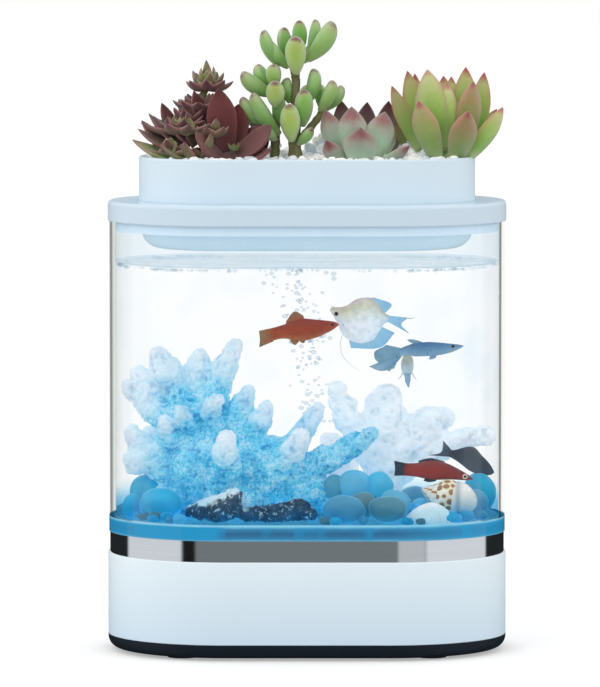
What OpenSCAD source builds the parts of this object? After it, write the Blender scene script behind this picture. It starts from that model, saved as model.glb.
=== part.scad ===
// Desktop glass aquarium with a planter in its lid, lit and aerated from the base.
// Origin: centre of the footprint on the table. Front is -Y, up is +Z. Millimetres.

/* [Outline] */
// Overall width over the base, the tank and the lid
tank_w = 168; // [167:0.5:180]
// Overall depth, front to back
tank_d = 104; // [103.5:0.5:112]
// Radius of the four upright corners
corner_r = 50; // [49.5:0.1:50.2]

/* [Heights] */
// Height of the base shell's top above the table
base_h = 41.5; // [41:0.5:50]
// Height of the polished band around the deck
band_h = 8.9; // [8.8:0.1:12]
// Height of the glass above the band, floor included
glass_h = 131; // [129:0.5:160]
// Height of the lid's visible edge
lid_h = 8.5; // [8.2:0.1:12]
// How far the planter stands above the lid
tub_rise = 18.6; // [18:0.2:26]
// How far the planter's bowl hangs below the lid's edge
tub_drop = 11.4; // [10:0.1:14]

/* [Glass] */
// Thickness of the tank's walls
glass_t = 2.5; // [2:0.1:2.6]
// Thickness of the tank's floor
floor_t = 5.9; // [5.5:0.1:8]

/* [Base] */
// Wall of the base shell
shell_t = 2.4; // [2:0.1:2.6]
// Height of the black foot tray's edge
foot_h = 5.8; // [5.6:0.1:6.4]
// Rounding of the foot tray's lower edge
foot_r = 5; // [3:0.5:5]

/* [Controls] */
// Diameter of the light button
button_d = 10; // [8:0.5:11]
// Travel of the light button
button_travel = 0.8; // [0.4:0.1:1]
// Diameter of the power socket's mouth
socket_d = 5.6; // [5:0.1:5.8]

/* [Planting] */
// Radius of the white gravel grains on the soil
grain_r = 2.1; // [1.6:0.1:2.2]

/* [Hidden] */

// straight lengths between the corner arcs
lx = tank_w - 2 * corner_r;
ly = tank_d - 2 * corner_r;
// levels
tray_z = 1;                          // underside of the foot tray
shell_z = tray_z + foot_h;           // underside of the base shell
deck_z = base_h;                     // underside of the band and the deck
tank_z = deck_z + band_h;            // underside of the glass floor
in_z = tank_z + floor_t;             // inside face of the glass floor
lid_z = tank_z + glass_h;            // top of the glass, underside of the lid
lid_top = lid_z + lid_h;
seat_z = lid_top - 4.6;              // ledge that carries the planter
tub_z = lid_z - tub_drop;            // underside of the planter's bowl
rim_z = lid_top + tub_rise;          // planter rim
soil_z = rim_z - 5;                  // top of the soil
// radii measured from the corner centres
glass_r = corner_r - 0.4;
in_r = glass_r - glass_t;
band_r = corner_r - 0.8;
tub_r = corner_r - 13.2;
// air line
gx = 10; gy = 18;                    // gland in the tank's floor
hose_z = 24;                         // height of the pump's outlet
px = -46; py = 8;                    // centre of the pump
// board, button and socket
bx = 40; by = -4;
button_x = -12; socket_x = 18; rear_z = 22;
// four posts that hold the base together, inside the corners
post_x = lx / 2 + 18; post_y = ly / 2 + 31.2;

function mix(a, b, t) = a + (b - a) * t;

// sweeps a profile (x = distance from the corner centres, y = height) round the outline
module ring() {
  for (q = [0:3]) {
    sx = (q == 0 || q == 3) ? 1 : -1;
    sy = (q < 2) ? 1 : -1;
    translate([sx * lx / 2, sy * ly / 2, 0]) rotate([0, 0, 90 * q])
      rotate_extrude(angle = 90, $fn = 96) children();
  }
  for (s = [0, 1]) mirror([0, s, 0]) translate([-lx / 2, ly / 2, 0])
    rotate([90, 0, 90]) linear_extrude(lx) children();
  for (s = [0, 1]) mirror([s, 0, 0]) translate([lx / 2, ly / 2, 0])
    rotate([90, 0, 0]) linear_extrude(ly) children();
}

// the outline at radius r
module outline(r) {
  square([lx + 2 * r, ly], center = true);
  square([lx, ly + 2 * r], center = true);
  for (x = [-1, 1], y = [-1, 1]) translate([x * lx / 2, y * ly / 2]) circle(r, $fn = 96);
}

module slab(r, z0, z1) { translate([0, 0, z0]) linear_extrude(z1 - z0) outline(r); }

// a rectangle from [x0, z0] to [x1, z1] with its outer lower and upper corners rounded
module bar(x0, z0, x1, z1, rb = 0, rt = 0) {
  m = max(rb, rt);
  translate([x0, z0]) square([x1 - x0 - m, z1 - z0]);
  translate([x1 - m, z0 + rb]) square([m, z1 - z0 - rb - rt]);
  if (rb > 0) intersection() {
    translate([x1 - rb, z0 + rb]) circle(rb, $fn = 64);
    translate([x1 - rb, z0]) square([rb, rb]);
  }
  if (rt > 0) intersection() {
    translate([x1 - rt, z1 - rt]) circle(rt, $fn = 64);
    translate([x1 - rt, z1 - rt]) square([rt, rt]);
  }
  if (m > rb) translate([x1 - m, z0]) square([m - rb, max(rb, 0.001)]);
  if (m > rt) translate([x1 - m, z1 - max(rt, 0.001)]) square([m - rt, max(rt, 0.001)]);
}

module at_posts() { for (x = [-1, 1], y = [-1, 1]) translate([x * post_x, y * post_y, 0]) children(); }

module tube(d, id, h) { difference() { cylinder(d = d, h = h, $fn = 48); translate([0, 0, -1]) cylinder(d = id, h = h + 2, $fn = 48); } }

// a tapering limb from p to q
module limb(p, q, a, b, n = 8) { hull() { translate(p) sphere(a, $fn = n); translate(q) sphere(b, $fn = n); } }

// a fleshy leaf from p to q, w wide in the middle
module leaf(p, q, w, n = 6) {
  hull() {
    translate(p) sphere(w * 0.45, $fn = n);
    translate([mix(p[0], q[0], 0.62), mix(p[1], q[1], 0.62), mix(p[2], q[2], 0.62) - w * 0.12]) sphere(w, $fn = n);
    translate(q) sphere(w * 0.22, $fn = n);
  }
}

// ---------------------------------------------------------------- base

board_holes = [for (x = [-19, 19], y = [-14, 14]) [bx + x, by + y]];
damper_pos = [for (x = [-15, 15], y = [-13, 13]) [px + x, py + y]];

module foot_tray() {
  color([0.08, 0.12, 0.16]) difference() {
    union() {
      ring() bar(43, tray_z, corner_r, shell_z, foot_r);
      slab(44, tray_z, tray_z + 3);
      ring() translate([43.6, shell_z - 1]) square([3.4, 3.6]);
      at_posts() translate([0, 0, tray_z]) cylinder(d = 14, h = foot_h, $fn = 48);
      for (p = board_holes) translate([p[0], p[1], tray_z + 1]) cylinder(d = 6, h = 11, $fn = 32);
      for (p = damper_pos) translate([p[0], p[1], tray_z + 1]) cylinder(d = 4, h = 5, $fn = 32);
      // slotted rail behind the light button
      translate([button_x - 9, 36.6, tray_z + 1]) cube([18, 5, 6]);
    }
    at_posts() {
      translate([0, 0, tray_z - 1]) cylinder(d = 14, h = 2.2, $fn = 48);
      translate([0, 0, tray_z]) cylinder(d = 6.6, h = 3.4, $fn = 48);
      translate([0, 0, tray_z]) cylinder(d = 3.4, h = foot_h + 2, $fn = 48);
    }
    for (p = board_holes) translate([p[0], p[1], tray_z + 4]) cylinder(d = 2.1, h = 10, $fn = 32);
    translate([button_x - 8.2, 38, tray_z + 3]) cube([16.4, 1.8, 6]);
    // air inlet slots under the pump
    for (x = [-8:4:8]) translate([px + x - 1, py - 8, tray_z - 1]) cube([2, 16, 5]);
  }
}

module rubber_feet() {
  color([0.05, 0.05, 0.06]) at_posts() {
    cylinder(d1 = 12.6, d2 = 13.6, h = 0.5, $fn = 48);
    translate([0, 0, 0.5]) cylinder(d = 13.6, h = tray_z + 1.2 - 0.5, $fn = 48);
  }
}

module base_shell() {
  color([0.9, 0.94, 0.97]) difference() {
    union() {
      ring() bar(corner_r - shell_t, shell_z, corner_r, deck_z, 0.4, 0.4);
      ring() translate([39, deck_z - 2.4]) square([corner_r - 40, 2.4]);
      at_posts() translate([0, 0, shell_z]) cylinder(d = 8, h = deck_z - shell_z - 1, $fn = 48);
    }
    at_posts() translate([0, 0, shell_z - 1]) cylinder(d = 3.1, h = 16, $fn = 48);
    for (p = deck_screw_pos) translate([p[0], p[1], deck_z - 5]) cylinder(d = 3.3, h = 8, $fn = 48);
    translate([button_x, tank_d / 2 + 1, rear_z]) rotate([90, 0, 0]) cylinder(d = button_d + 0.6, h = 8, $fn = 64);
    translate([socket_x, tank_d / 2 + 1, rear_z]) rotate([90, 0, 0]) cylinder(d = 8.4, h = 8, $fn = 64);
  }
}

module base_screws() {
  color([0.7, 0.71, 0.73]) at_posts() difference() {
    union() {
      translate([0, 0, tray_z + 1.6]) cylinder(d = 6, h = 1.8, $fn = 48);
      translate([0, 0, tray_z + 3.4]) cylinder(d = 3, h = 15, $fn = 48);
    }
    translate([0, 0, tray_z + 1]) cylinder(d = 2.6, h = 1.8, $fn = 6);
  }
}

// ---------------------------------------------------------------- deck, light and band

deck_screw_pos = [[lx / 2 + 42, 0], [-lx / 2 - 42, 0],
  for (x = [-1, 1], y = [-1, 1]) [x * lx / 2 * 0.8, y * (ly / 2 + 42)]];

module polished_band() {
  color([0.78, 0.79, 0.8]) ring() translate([band_r - 1, deck_z]) square([1, band_h]);
}

module deck_ring() {
  color([0.88, 0.9, 0.92]) difference() {
    union() {
      ring() translate([45.8, deck_z]) square([band_r - 1.1 - 45.8, band_h]);
      ring() translate([40.6, deck_z]) square([6, band_h - 6.2]);
    }
    for (p = deck_screw_pos) translate([p[0], p[1], deck_z - 1]) cylinder(d = 2.7, h = 3.4, $fn = 48);
  }
}

module deck_screws() {
  color([0.7, 0.71, 0.73]) for (p = deck_screw_pos) translate([p[0], p[1], deck_z - 4.4]) difference() {
    union() {
      cylinder(d = 5.4, h = 2, $fn = 48);
      translate([0, 0, 1.9]) cylinder(d = 2.6, h = 4.4, $fn = 48);
    }
    translate([0, 0, -1]) cylinder(d = 2.4, h = 2, $fn = 6);
  }
}

module led_board() {
  z = deck_z + band_h - 6.2;
  color([0.93, 0.95, 0.93]) difference() {
    slab(45.5, z, z + 1.6);
    translate([gx, gy, z - 1]) cylinder(d = 21, h = 4, $fn = 64);
    // opening in the middle, so the board is a frame under the tank's edge
    slab(14, z - 1, z + 3);
  }
}

led_pos = concat(
  [for (x = [-60:20:60], s = [-1, 1]) [x, s * (abs(x) > 50 ? 22 : 32)]],
  [for (s = [-1, 1]) [s * 70, 0]], [for (s = [-1, 1]) [s * 68, 12], [-54, 0], [54, 0]]);

module led_chips() {
  z = deck_z + band_h - 4.6;
  color([0.6, 0.85, 1]) for (p = led_pos) translate([p[0] - 1.75, p[1] - 1.75, z]) difference() {
    cube([3.5, 3.5, 0.9]);
    translate([1.75, 1.75, 0.6]) cylinder(d = 2.6, h = 1, $fn = 32);
  }
}

module diffuser_panel() {
  color([0.85, 0.95, 1]) difference() {
    union() {
      slab(45.5, tank_z - 3, tank_z);
      ring() translate([43.4, tank_z - 4.6]) square([2.1, 2]);
    }
    translate([gx, gy, tank_z - 5]) cylinder(d = 20, h = 7, $fn = 64);
  }
}

// ---------------------------------------------------------------- air pump

module pump_dampers() {
  color([0.15, 0.15, 0.16]) for (p = damper_pos) translate([p[0], p[1], tray_z + 3]) difference() {
    cylinder(d = 9, h = 6, $fn = 48);
    translate([0, 0, -1]) cylinder(d = 4.4, h = 4.4, $fn = 32);
  }
}

pump_z = tray_z + 9;                 // underside of the pump

module pump_housing() {
  color([0.82, 0.84, 0.86]) translate([px, py, pump_z]) difference() {
    translate([-22, -20, 0]) cube([44, 40, 22]);
    translate([-20, -18, 2]) cube([40, 36, 21]);
    // way out for the air nozzle
    translate([15, 10, hose_z - pump_z]) rotate([0, 90, 0]) cylinder(d = 8.4, h = 10, $fn = 48);
    // slots that let air in
    for (y = [-10:4:-2]) translate([-23, y, 8]) cube([4, 1.6, 8]);
  }
}

module pump_cover() {
  color([0.82, 0.84, 0.86]) translate([px, py, pump_z + 22]) {
    translate([-22, -20, 0]) cube([44, 40, 2]);
    difference() {
      translate([-19.8, -17.8, -1.6]) cube([39.6, 35.6, 2]);
      translate([-18.4, -16.4, -3]) cube([36.8, 32.8, 5]);
    }
  }
}

module pump_core() {
  color([0.42, 0.42, 0.44]) translate([px, py, pump_z + 2]) {
    translate([-18, -14, 0]) cube([4, 28, 16]);
    for (y = [-14, -3, 9]) translate([-15, y, 2]) cube([11, y == -3 ? 6 : 5, 12]);
  }
}

module pump_coil() {
  color([0.72, 0.4, 0.18]) translate([px, py, pump_z + 10]) rotate([0, 90, 0]) translate([0, 0, -13.8]) difference() {
    union() {
      for (z = [0, 8]) translate([-8, -5.6, z]) cube([16, 11.2, 0.9]);
      translate([-7.4, -5, 0.4]) cube([14.8, 10, 8]);
    }
    translate([-6.2, -3.2, -1]) cube([12.4, 6.4, 12]);
  }
}

// the arm swings about an upright pin at the back of the housing
arm_x = px + 0.6; arm_y = py + 15.4;

module pump_pin() {
  color([0.75, 0.76, 0.78]) translate([arm_x, arm_y, pump_z + 2]) {
    cylinder(d = 2, h = 18, $fn = 32);
    cylinder(d = 4, h = 3.8, $fn = 32);
  }
}

module pump_arm() {
  color([0.2, 0.22, 0.25]) translate([arm_x, arm_y, pump_z + 6]) difference() {
    union() {
      cylinder(d = 4.4, h = 11, $fn = 48);
      translate([-1.1, -29, 1]) cube([2.2, 29, 9]);
      // boss that carries the bellows
      translate([1, -17.4, 5.5]) rotate([0, 90, 0]) cylinder(d = 4, h = 2, $fn = 32);
    }
    translate([0, 0, -1]) cylinder(d = 2.16, h = 13, $fn = 48);
  }
}

module pump_magnets() {
  color([0.6, 0.6, 0.63]) for (y = [-26.4, -8.4]) translate([arm_x - 1.1 - 1, arm_y + y, pump_z + 8]) cube([1, 5, 6]);
}

module pump_bellows() {
  color([0.12, 0.12, 0.13]) translate([arm_x + 3, arm_y - 17.4, pump_z + 11.5]) rotate([0, 90, 0])
    rotate_extrude($fn = 48) polygon([[0, 0], [4.6, 0], [6.4, 1], [5, 2], [6.4, 3], [5, 4], [6.4, 5], [4, 5.4], [0, 5.4]]);
}

module valve_chamber() {
  color([0.86, 0.88, 0.9]) translate([px, py, pump_z + 2]) difference() {
    union() {
      translate([9, -10, 0]) cube([8, 24, 18]);
      translate([16, 10, hose_z - pump_z - 2]) rotate([0, 90, 0]) cylinder(d = 7.8, h = 7, $fn = 48);
      translate([22, 10, hose_z - pump_z - 2]) rotate([0, 90, 0]) cylinder(d = 4, h = 5.6, $fn = 48);
    }
    // air passage
    translate([12, 10, hose_z - pump_z - 2]) rotate([0, 90, 0]) cylinder(d = 2.4, h = 20, $fn = 32);
    translate([13, -2, 9.5]) cube([2, 12, 3]);
    translate([8, -2, 9.5]) rotate([0, 90, 0]) cylinder(d = 3, h = 6, $fn = 32);
  }
}

module inlet_hose() {
  color([0.88, 0.92, 0.94]) translate([px + 23, gy, hose_z]) rotate([0, 90, 0]) tube(6.2, 4.3, 10);
}

module check_valve() {
  color([0.75, 0.85, 0.92]) translate([px + 33, gy, hose_z]) rotate([0, 90, 0]) difference() {
    union() {
      translate([0, 0, -4]) cylinder(d = 4, h = 18, $fn = 48);
      cylinder(d = 7, h = 10, $fn = 48);
      translate([0, 0, 3]) cylinder(d = 10, h = 4, $fn = 48);
    }
    translate([0, 0, -5]) cylinder(d = 2.2, h = 21, $fn = 32);
  }
}

// hose that turns up to the gland
module air_hose() {
  r = 6.8;
  x0 = px + 43;
  color([0.88, 0.92, 0.94]) {
    translate([x0, gy, hose_z]) rotate([0, 90, 0]) tube(6.2, 4.3, gx - r - x0);
    translate([gx - r, gy, hose_z + r]) rotate([90, 0, 0]) rotate([0, 0, -90])
      rotate_extrude(angle = 90, $fn = 64) translate([r, 0]) difference() { circle(d = 6.2, $fn = 48); circle(d = 4.3, $fn = 48); }
    translate([gx, gy, hose_z + r]) tube(6.2, 4.3, tank_z - 7 - hose_z - r);
  }
}

// ---------------------------------------------------------------- electrics

module control_board() {
  color([0.1, 0.4, 0.25]) difference() {
    translate([bx - 22, by - 17, tray_z + 12]) cube([44, 34, 1.6]);
    for (p = board_holes) translate([p[0], p[1], tray_z + 11]) cylinder(d = 2.4, h = 4, $fn = 32);
  }
}

module board_components() {
  z = tray_z + 13.6;
  color([0.2, 0.2, 0.22]) {
    translate([bx - 12, by + 8, z]) cylinder(d = 8, h = 11, $fn = 48);
    translate([bx - 2, by + 9, z]) cylinder(d = 6.3, h = 9, $fn = 48);
    translate([bx - 8, by - 8, z]) cube([9, 7, 1.6]);
    translate([bx + 5, by - 10, z]) cube([8, 8, 4]);
    translate([bx + 4, by + 4, z]) cube([9, 6, 6]);
    translate([bx - 21, by - 5, z]) cube([5, 10, 7]);
    for (i = [0:4]) translate([bx - 6 + i * 4, by + 0.6, z]) cube([2, 1.2, 0.8]);
  }
}

module board_screws() {
  color([0.7, 0.71, 0.73]) for (p = board_holes) translate([p[0], p[1], tray_z + 13.6]) difference() {
    union() {
      cylinder(d = 4, h = 1.6, $fn = 32);
      translate([0, 0, -7]) cylinder(d = 2, h = 7.4, $fn = 32);
    }
    translate([0, 0, 0.8]) cylinder(d = 1.6, h = 2, $fn = 6);
  }
}

module power_socket() {
  color([0.08, 0.08, 0.09]) translate([socket_x, tank_d / 2, rear_z]) rotate([90, 0, 0]) difference() {
    union() {
      cylinder(d = 8, h = 4, $fn = 64);
      translate([-5.5, -5.5, shell_t]) cube([11, 11, 9]);
    }
    translate([0, 0, -1]) cylinder(d = socket_d, h = 10.5, $fn = 64);
  }
}

module socket_pin() {
  color([0.8, 0.8, 0.75]) translate([socket_x, tank_d / 2 - 9.5, rear_z]) rotate([-90, 0, 0]) {
    cylinder(d = 2, h = 8.4, $fn = 32);
    translate([0, 0, 8.4]) cylinder(d1 = 2, d2 = 1.2, h = 0.5, $fn = 32);
  }
}

module light_button() {
  color([0.92, 0.95, 0.97]) translate([button_x, tank_d / 2 - 0.2, rear_z]) rotate([90, 0, 0]) difference() {
    union() {
      cylinder(d1 = button_d - 0.6, d2 = button_d, h = 0.4, $fn = 64);
      translate([0, 0, 0.4]) cylinder(d = button_d, h = 3.6, $fn = 64);
      translate([0, 0, shell_t - 0.1]) cylinder(d = button_d + 3, h = 1.7, $fn = 64);
      translate([0, 0, 3]) cylinder(d = 3, h = 5.2, $fn = 32);
    }
    // shallow dish for the fingertip
    translate([0, 0, -16.5]) sphere(17, $fn = 96);
  }
}

module switch_board() {
  color([0.1, 0.4, 0.25]) translate([button_x - 8, 38.1, tray_z + 3]) cube([16, 1.6, 24]);
}

module light_switch() {
  color([0.15, 0.15, 0.16]) translate([button_x, 39.7, rear_z]) {
    translate([-3, 0, -3]) cube([6, 2.4, 6]);
    rotate([-90, 0, 0]) cylinder(d = 3.4, h = tank_d / 2 - 0.2 - 8.2 - 39.7 - button_travel - 0.1, $fn = 32);
  }
}

// ---------------------------------------------------------------- tank

module tank_glass() {
  color([0.85, 0.94, 0.97, 0.25]) difference() {
    union() {
      slab(in_r + 0.6, tank_z, in_z);
      ring() translate([in_r, tank_z]) square([glass_t, glass_h]);
    }
    translate([gx, gy, tank_z - 1]) cylinder(d = 10.2, h = floor_t + 2, $fn = 64);
  }
}

module floor_gland() {
  color([0.85, 0.87, 0.89]) difference() {
    union() {
      translate([gx, gy, in_z + 1]) cylinder(d = 16, h = 2, $fn = 64);
      translate([gx, gy, tank_z - 7]) cylinder(d = 9.8, h = floor_t + 8.5, $fn = 64);
      translate([gx, gy, tank_z - 13]) cylinder(d = 4, h = 7, $fn = 48);
      translate([gx, gy, in_z + 2]) cylinder(d = 4, h = 7, $fn = 48);
    }
    translate([gx, gy, tank_z - 14]) cylinder(d = 2.4, h = 40, $fn = 32);
  }
}

module gland_nut() {
  color([0.8, 0.82, 0.84]) translate([gx, gy, tank_z - 3.4]) difference() {
    cylinder(d = 17, h = 3.4, $fn = 6);
    translate([0, 0, -1]) cylinder(d = 10, h = 6, $fn = 64);
  }
}

module gland_seal() {
  color([0.1, 0.1, 0.1]) translate([gx, gy, in_z]) tube(15, 10.2, 1);
}

module filter_cup() {
  color([0.6, 0.66, 0.7]) translate([gx, gy, in_z]) difference() {
    cylinder(d = 27, h = 8, $fn = 64);
    translate([0, 0, -1]) cylinder(d = 16.6, h = 10, $fn = 64);
    translate([0, 0, 2]) cylinder(d = 24.6, h = 8, $fn = 64);
    for (a = [0:45:315]) rotate([0, 0, a]) translate([10, -1.5, 4]) cube([6, 3, 2]);
  }
}

module filter_sponge() {
  color([0.2, 0.25, 0.3]) translate([gx, gy, in_z + 2]) tube(24.2, 17, 20);
}

module filter_cap() {
  color([0.6, 0.66, 0.7]) translate([gx, gy, in_z + 22]) difference() {
    union() {
      cylinder(d = 25, h = 2, $fn = 64);
      translate([0, 0, -14]) cylinder(d = 7, h = 17, $fn = 48);
    }
    translate([0, 0, -15]) cylinder(d = 4.3, h = 20, $fn = 48);
    for (a = [30:60:330]) rotate([0, 0, a]) translate([7.5, 0, -1]) cylinder(d = 3, h = 4, $fn = 32);
  }
}

module air_stone() {
  color([0.75, 0.78, 0.8]) translate([gx, gy, in_z + 25]) {
    cylinder(d = 9, h = 7, $fn = 48);
    translate([0, 0, 7]) cylinder(d1 = 9, d2 = 6, h = 1.2, $fn = 48);
  }
}

// ---------------------------------------------------------------- decoration

// level above the glass floor
function up(p) = [p[0], p[1], p[2] + in_z - 57];

module blue_coral() {
  color([0.35, 0.68, 0.85]) intersection() {
    slab(in_r - 0.6, in_z, in_z + 100);
    union() {
      limb(up([-36, 0, 66]), up([-44, 2, 88]), 12, 16, 10);
      limb(up([-44, 2, 88]), up([-55, 2, 96]), 15, 10, 10);
      limb(up([-36, 0, 66]), up([-14, -6, 70]), 12, 9, 10);
      limb(up([-40, 0, 90]), up([-24, -2, 92]), 13, 6, 10);
      limb(up([-52, 0, 76]), up([-72, 0, 92]), 9, 6);
      limb(up([-56, 0, 92]), up([-75, -1, 111]), 8, 3.6);
      limb(up([-58, 4, 98]), up([-70, 5, 115]), 6, 4.4);
      limb(up([-55, 0, 104]), up([-62, 0, 122]), 6, 5.4);
      limb(up([-46, 2, 102]), up([-46, 2, 122]), 6, 4.8);
      limb(up([-42, -2, 102]), up([-31, -3, 129]), 5, 3.4);
      limb(up([-32, 0, 92]), up([-25.5, 0, 108]), 6, 4.4);
      limb(up([-26, -3, 84]), up([-17.5, -4, 101]), 6, 3.8);
      limb(up([-12, -4, 76]), up([3, -4, 101]), 6, 3.6);
      limb(up([-16, -12, 74]), up([-3, -16, 90]), 6.5, 4.6);
      limb(up([-12, -8, 73]), up([10, -9, 83]), 7, 5.6);
      limb(up([10, -9, 83]), up([25, -9, 91]), 5.6, 4.6);
      limb(up([-36, -12, 76]), up([-34, -24, 91]), 7, 4.4);
      limb(up([-44, -8, 98]), up([-38, -17, 108]), 5, 3.2);
      limb(up([-58, -6, 90]), up([-60, -16, 98]), 6, 3.4);
    }
  }
}

module dark_rocks() {
  color([0.16, 0.2, 0.25]) {
    hull() {
      translate(up([0, 0, 57])) linear_extrude(2) polygon([[-51, -35], [-54, -21], [-52, -18], [-27, -18], [-26, -37], [-29, -39]]);
      translate(up([-28, -34, 70])) sphere(2, $fn = 6);
      translate(up([-47, -28, 64])) sphere(2, $fn = 6);
      translate(up([-30, -22, 70])) sphere(2, $fn = 6);
    }
    hull() {
      translate(up([0, 0, 57])) linear_extrude(2.6) polygon([[-21, -36], [-22, -19], [1, -18], [3, -31], [-1, -34.4]]);
      translate(up([-14, -28, 62.6])) sphere(2.2, $fn = 6);
      translate(up([-4, -26, 63.2])) sphere(2.2, $fn = 6);
    }
  }
}

module white_coral() {
  color([0.86, 0.92, 0.96]) intersection() {
    slab(in_r - 0.6, in_z, in_z + 80);
    union() {
      limb(up([32, 14, 63]), up([32, 12, 76]), 9, 8, 10);
      limb(up([32, 12, 76]), up([34, 12, 104]), 7.5, 8, 10);
      limb(up([28, 11, 80]), up([21, 6.5, 92]), 5, 5.4);
      limb(up([21, 6.5, 92]), up([13.5, 6.5, 108]), 5.4, 4.8);
      limb(up([36, 12, 80]), up([48, 12, 94]), 7, 8, 10);
      limb(up([48, 12, 94]), up([56, 12, 96]), 8, 5.6);
      limb(up([36, 14, 72]), up([50, 12, 82]), 6, 6);
      limb(up([50, 12, 82]), up([63, 10, 87]), 5.5, 4);
      limb(up([63, 10, 87]), up([75, 8, 89]), 4, 4.6);
    }
  }
}

// [x, y, z of the centre, half width, half depth, half height, turn]
pebbles = [
  [15.5, -37, 63, 9, 6.6, 6, 4], [33.5, -36, 62.8, 8.2, 6.4, 5.8, -12],
  [23.5, -23.5, 63, 6.4, 5.6, 6, 25], [37, -22.5, 63.6, 6.8, 5, 6.6, -20],
  [47.4, -17, 61.4, 4, 4.2, 4.4, 10], [46, -26.6, 59.6, 2.6, 2.4, 2.6, 0],
  [-64.5, -14, 63.2, 8, 7.6, 6.2, 30], [-66, 6, 64.8, 7.6, 7.8, 7.8, 70],
  [-73.4, -4.6, 60.6, 4.2, 3.4, 3.6, 80],
  [70, 4, 63.6, 7, 7, 6.6, 15], [68.4, -9.6, 63, 6, 5.4, 6, 60],
  [56, -9, 62.4, 5.6, 5, 5.4, 0], [55, 8, 61.8, 5.4, 6, 4.8, 40],
  [10, 40, 61.4, 7, 5, 4.4, 5], [-8, 38, 61.6, 6.4, 5.4, 4.6, 10],
  [28, 38, 61.8, 7.4, 5.6, 4.8, -8], [46, 34, 61.6, 6.2, 6, 4.6, -30],
  [-26, 36, 61.8, 7, 6, 4.8, 12], [-44, 34, 61.4, 6.6, 6.2, 4.4, 24],
  [-60, 24, 61.6, 6.4, 6, 4.6, 40], [62, 22, 61.6, 5.8, 6, 4.6, 30]];

module glass_pebbles() {
  color([0.2, 0.5, 0.75, 0.8]) for (p = pebbles)
    translate(up([p[0], p[1], p[2]])) rotate([0, 0, p[6]]) scale([p[3], p[4], p[5]]) sphere(1, $fn = 32);
}

module spotted_shell() {
  color([0.95, 0.92, 0.85]) translate(up([60.5, -20.6, 0])) {
    hull() {
      translate([-6.6, 0, 66]) sphere(2.2, $fn = 8);
      translate([-3, 0, 67.6]) sphere(5.2, $fn = 10);
      translate([3.2, -0.5, 68]) sphere(5.8, $fn = 10);
      translate([1, -1, 60.7]) sphere(4, $fn = 8);
    }
  }
}

module white_shell() {
  color([0.94, 0.96, 0.97]) translate(up([51.4, -36.4, 57])) hull() {
    cylinder(d = 8, h = 1, $fn = 16);
    translate([-5.6, 0.6, 0]) cylinder(d = 5, h = 1, $fn = 12);
    translate([5.6, 1.6, 0]) cylinder(d = 5, h = 1, $fn = 12);
    translate([-2, 1, 7]) sphere(1.4, $fn = 8);
    translate([2, 1, 6.4]) sphere(1.4, $fn = 8);
  }
}

// ---------------------------------------------------------------- lid and planter

module lid_frame() {
  color([0.92, 0.95, 0.98]) {
    difference() {
      ring() bar(tub_r - 0.7, lid_z, corner_r, lid_top, 0.6, 1.6);
      ring() translate([tub_r - 1.7, seat_z]) square([2, 10]);
      ring() translate([tub_r + 1.8, lid_z - 1]) square([in_r - 4 - tub_r - 1.6, lid_h - 1.4]);
    }
    ring() translate([in_r - 2.4, lid_z - 4.1]) square([2, 5]);
  }
}

module planter_tub() {
  w = 2;
  lo = tub_r - 1;                    // radius of the bowl below the seat
  rr = 8;                            // rounding of the bowl's lower edge
  color([0.92, 0.95, 0.98]) difference() {
    union() {
      ring() bar(tub_r - w, seat_z, tub_r, rim_z, 0, 0.8);
      ring() translate([lo - w, tub_z + rr]) square([w, seat_z - tub_z - rr + 1.5]);
      ring() difference() {
        intersection() { translate([lo - rr, tub_z + rr]) circle(rr, $fn = 64); translate([lo - rr, tub_z]) square([rr, rr]); }
        translate([lo - rr, tub_z + rr]) circle(rr - w, $fn = 64);
      }
      ring() translate([lo - rr - 3, tub_z]) square([3, w]);
      slab(lo - rr - 1, tub_z, tub_z + w);
    }
    for (x = [-45:15:45], y = [-10, 10]) translate([x, y, tub_z - 1]) cylinder(d = 4, h = 4, $fn = 32);
  }
}

grid_z = tub_z + 7.4;

module planter_grid() {
  color([0.2, 0.22, 0.24]) difference() {
    union() {
      slab(tub_r - 5.2, grid_z, grid_z + 1.8);
      for (x = [-50, -18, 18, 50], y = [-16, 16]) translate([x, y, tub_z + 2]) cylinder(d = 5, h = grid_z - tub_z - 1.5, $fn = 32);
    }
    for (x = [-42:14:42], y = [-8, 8]) translate([x, y, grid_z - 1]) cylinder(d = 4, h = 4, $fn = 32);
  }
}

module root_fleece() {
  color([0.85, 0.85, 0.82]) slab(tub_r - 4.4, grid_z + 1.8, grid_z + 2.8);
}

module soil() {
  color([0.2, 0.13, 0.09]) {
    slab(tub_r - 3.6, grid_z + 2.8, soil_z - 4);
    slab(tub_r - 3.2, soil_z - 5, soil_z);
  }
}

// level of the plants above the soil
function sp(p) = [p[0], p[1], p[2] + soil_z - 207];

// footprints kept free of gravel: [x, y, radius]
footprints = [[-56, -6, 6], [-34, -14, 6.5], [-5, -8, 5.5], [23, -10, 8], [56, -6, 9]];
function free(x, y) = len([for (f = footprints) if (norm([x - f[0], y - f[1]]) < f[2] + grain_r + 0.4) 1]) == 0;
function inside(x, y) = norm([max(abs(x) - lx / 2, 0), max(abs(y) - ly / 2, 0)]) < tub_r - 2.6 - grain_r;
grains = [for (i = [-6:6], j = [-3:3]) let (x = i * 10 + (j % 2 == 0 ? 0 : 5), y = j * 9.4)
  if (inside(x, y) && free(x, y)) [x, y]];

// a bed of grains: its even layer, and the ones that stand proud of it
module white_gravel() {
  color([0.93, 0.94, 0.95]) difference() {
    union() {
      slab(tub_r - 3.2, soil_z, soil_z + 2.4);
      for (g = grains) translate([g[0], g[1], soil_z + grain_r + 0.05]) sphere(grain_r, $fn = 24);
    }
    for (f = footprints) translate([f[0], f[1], soil_z - 1]) cylinder(r = f[2], h = 8, $fn = 48);
  }
}

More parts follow.
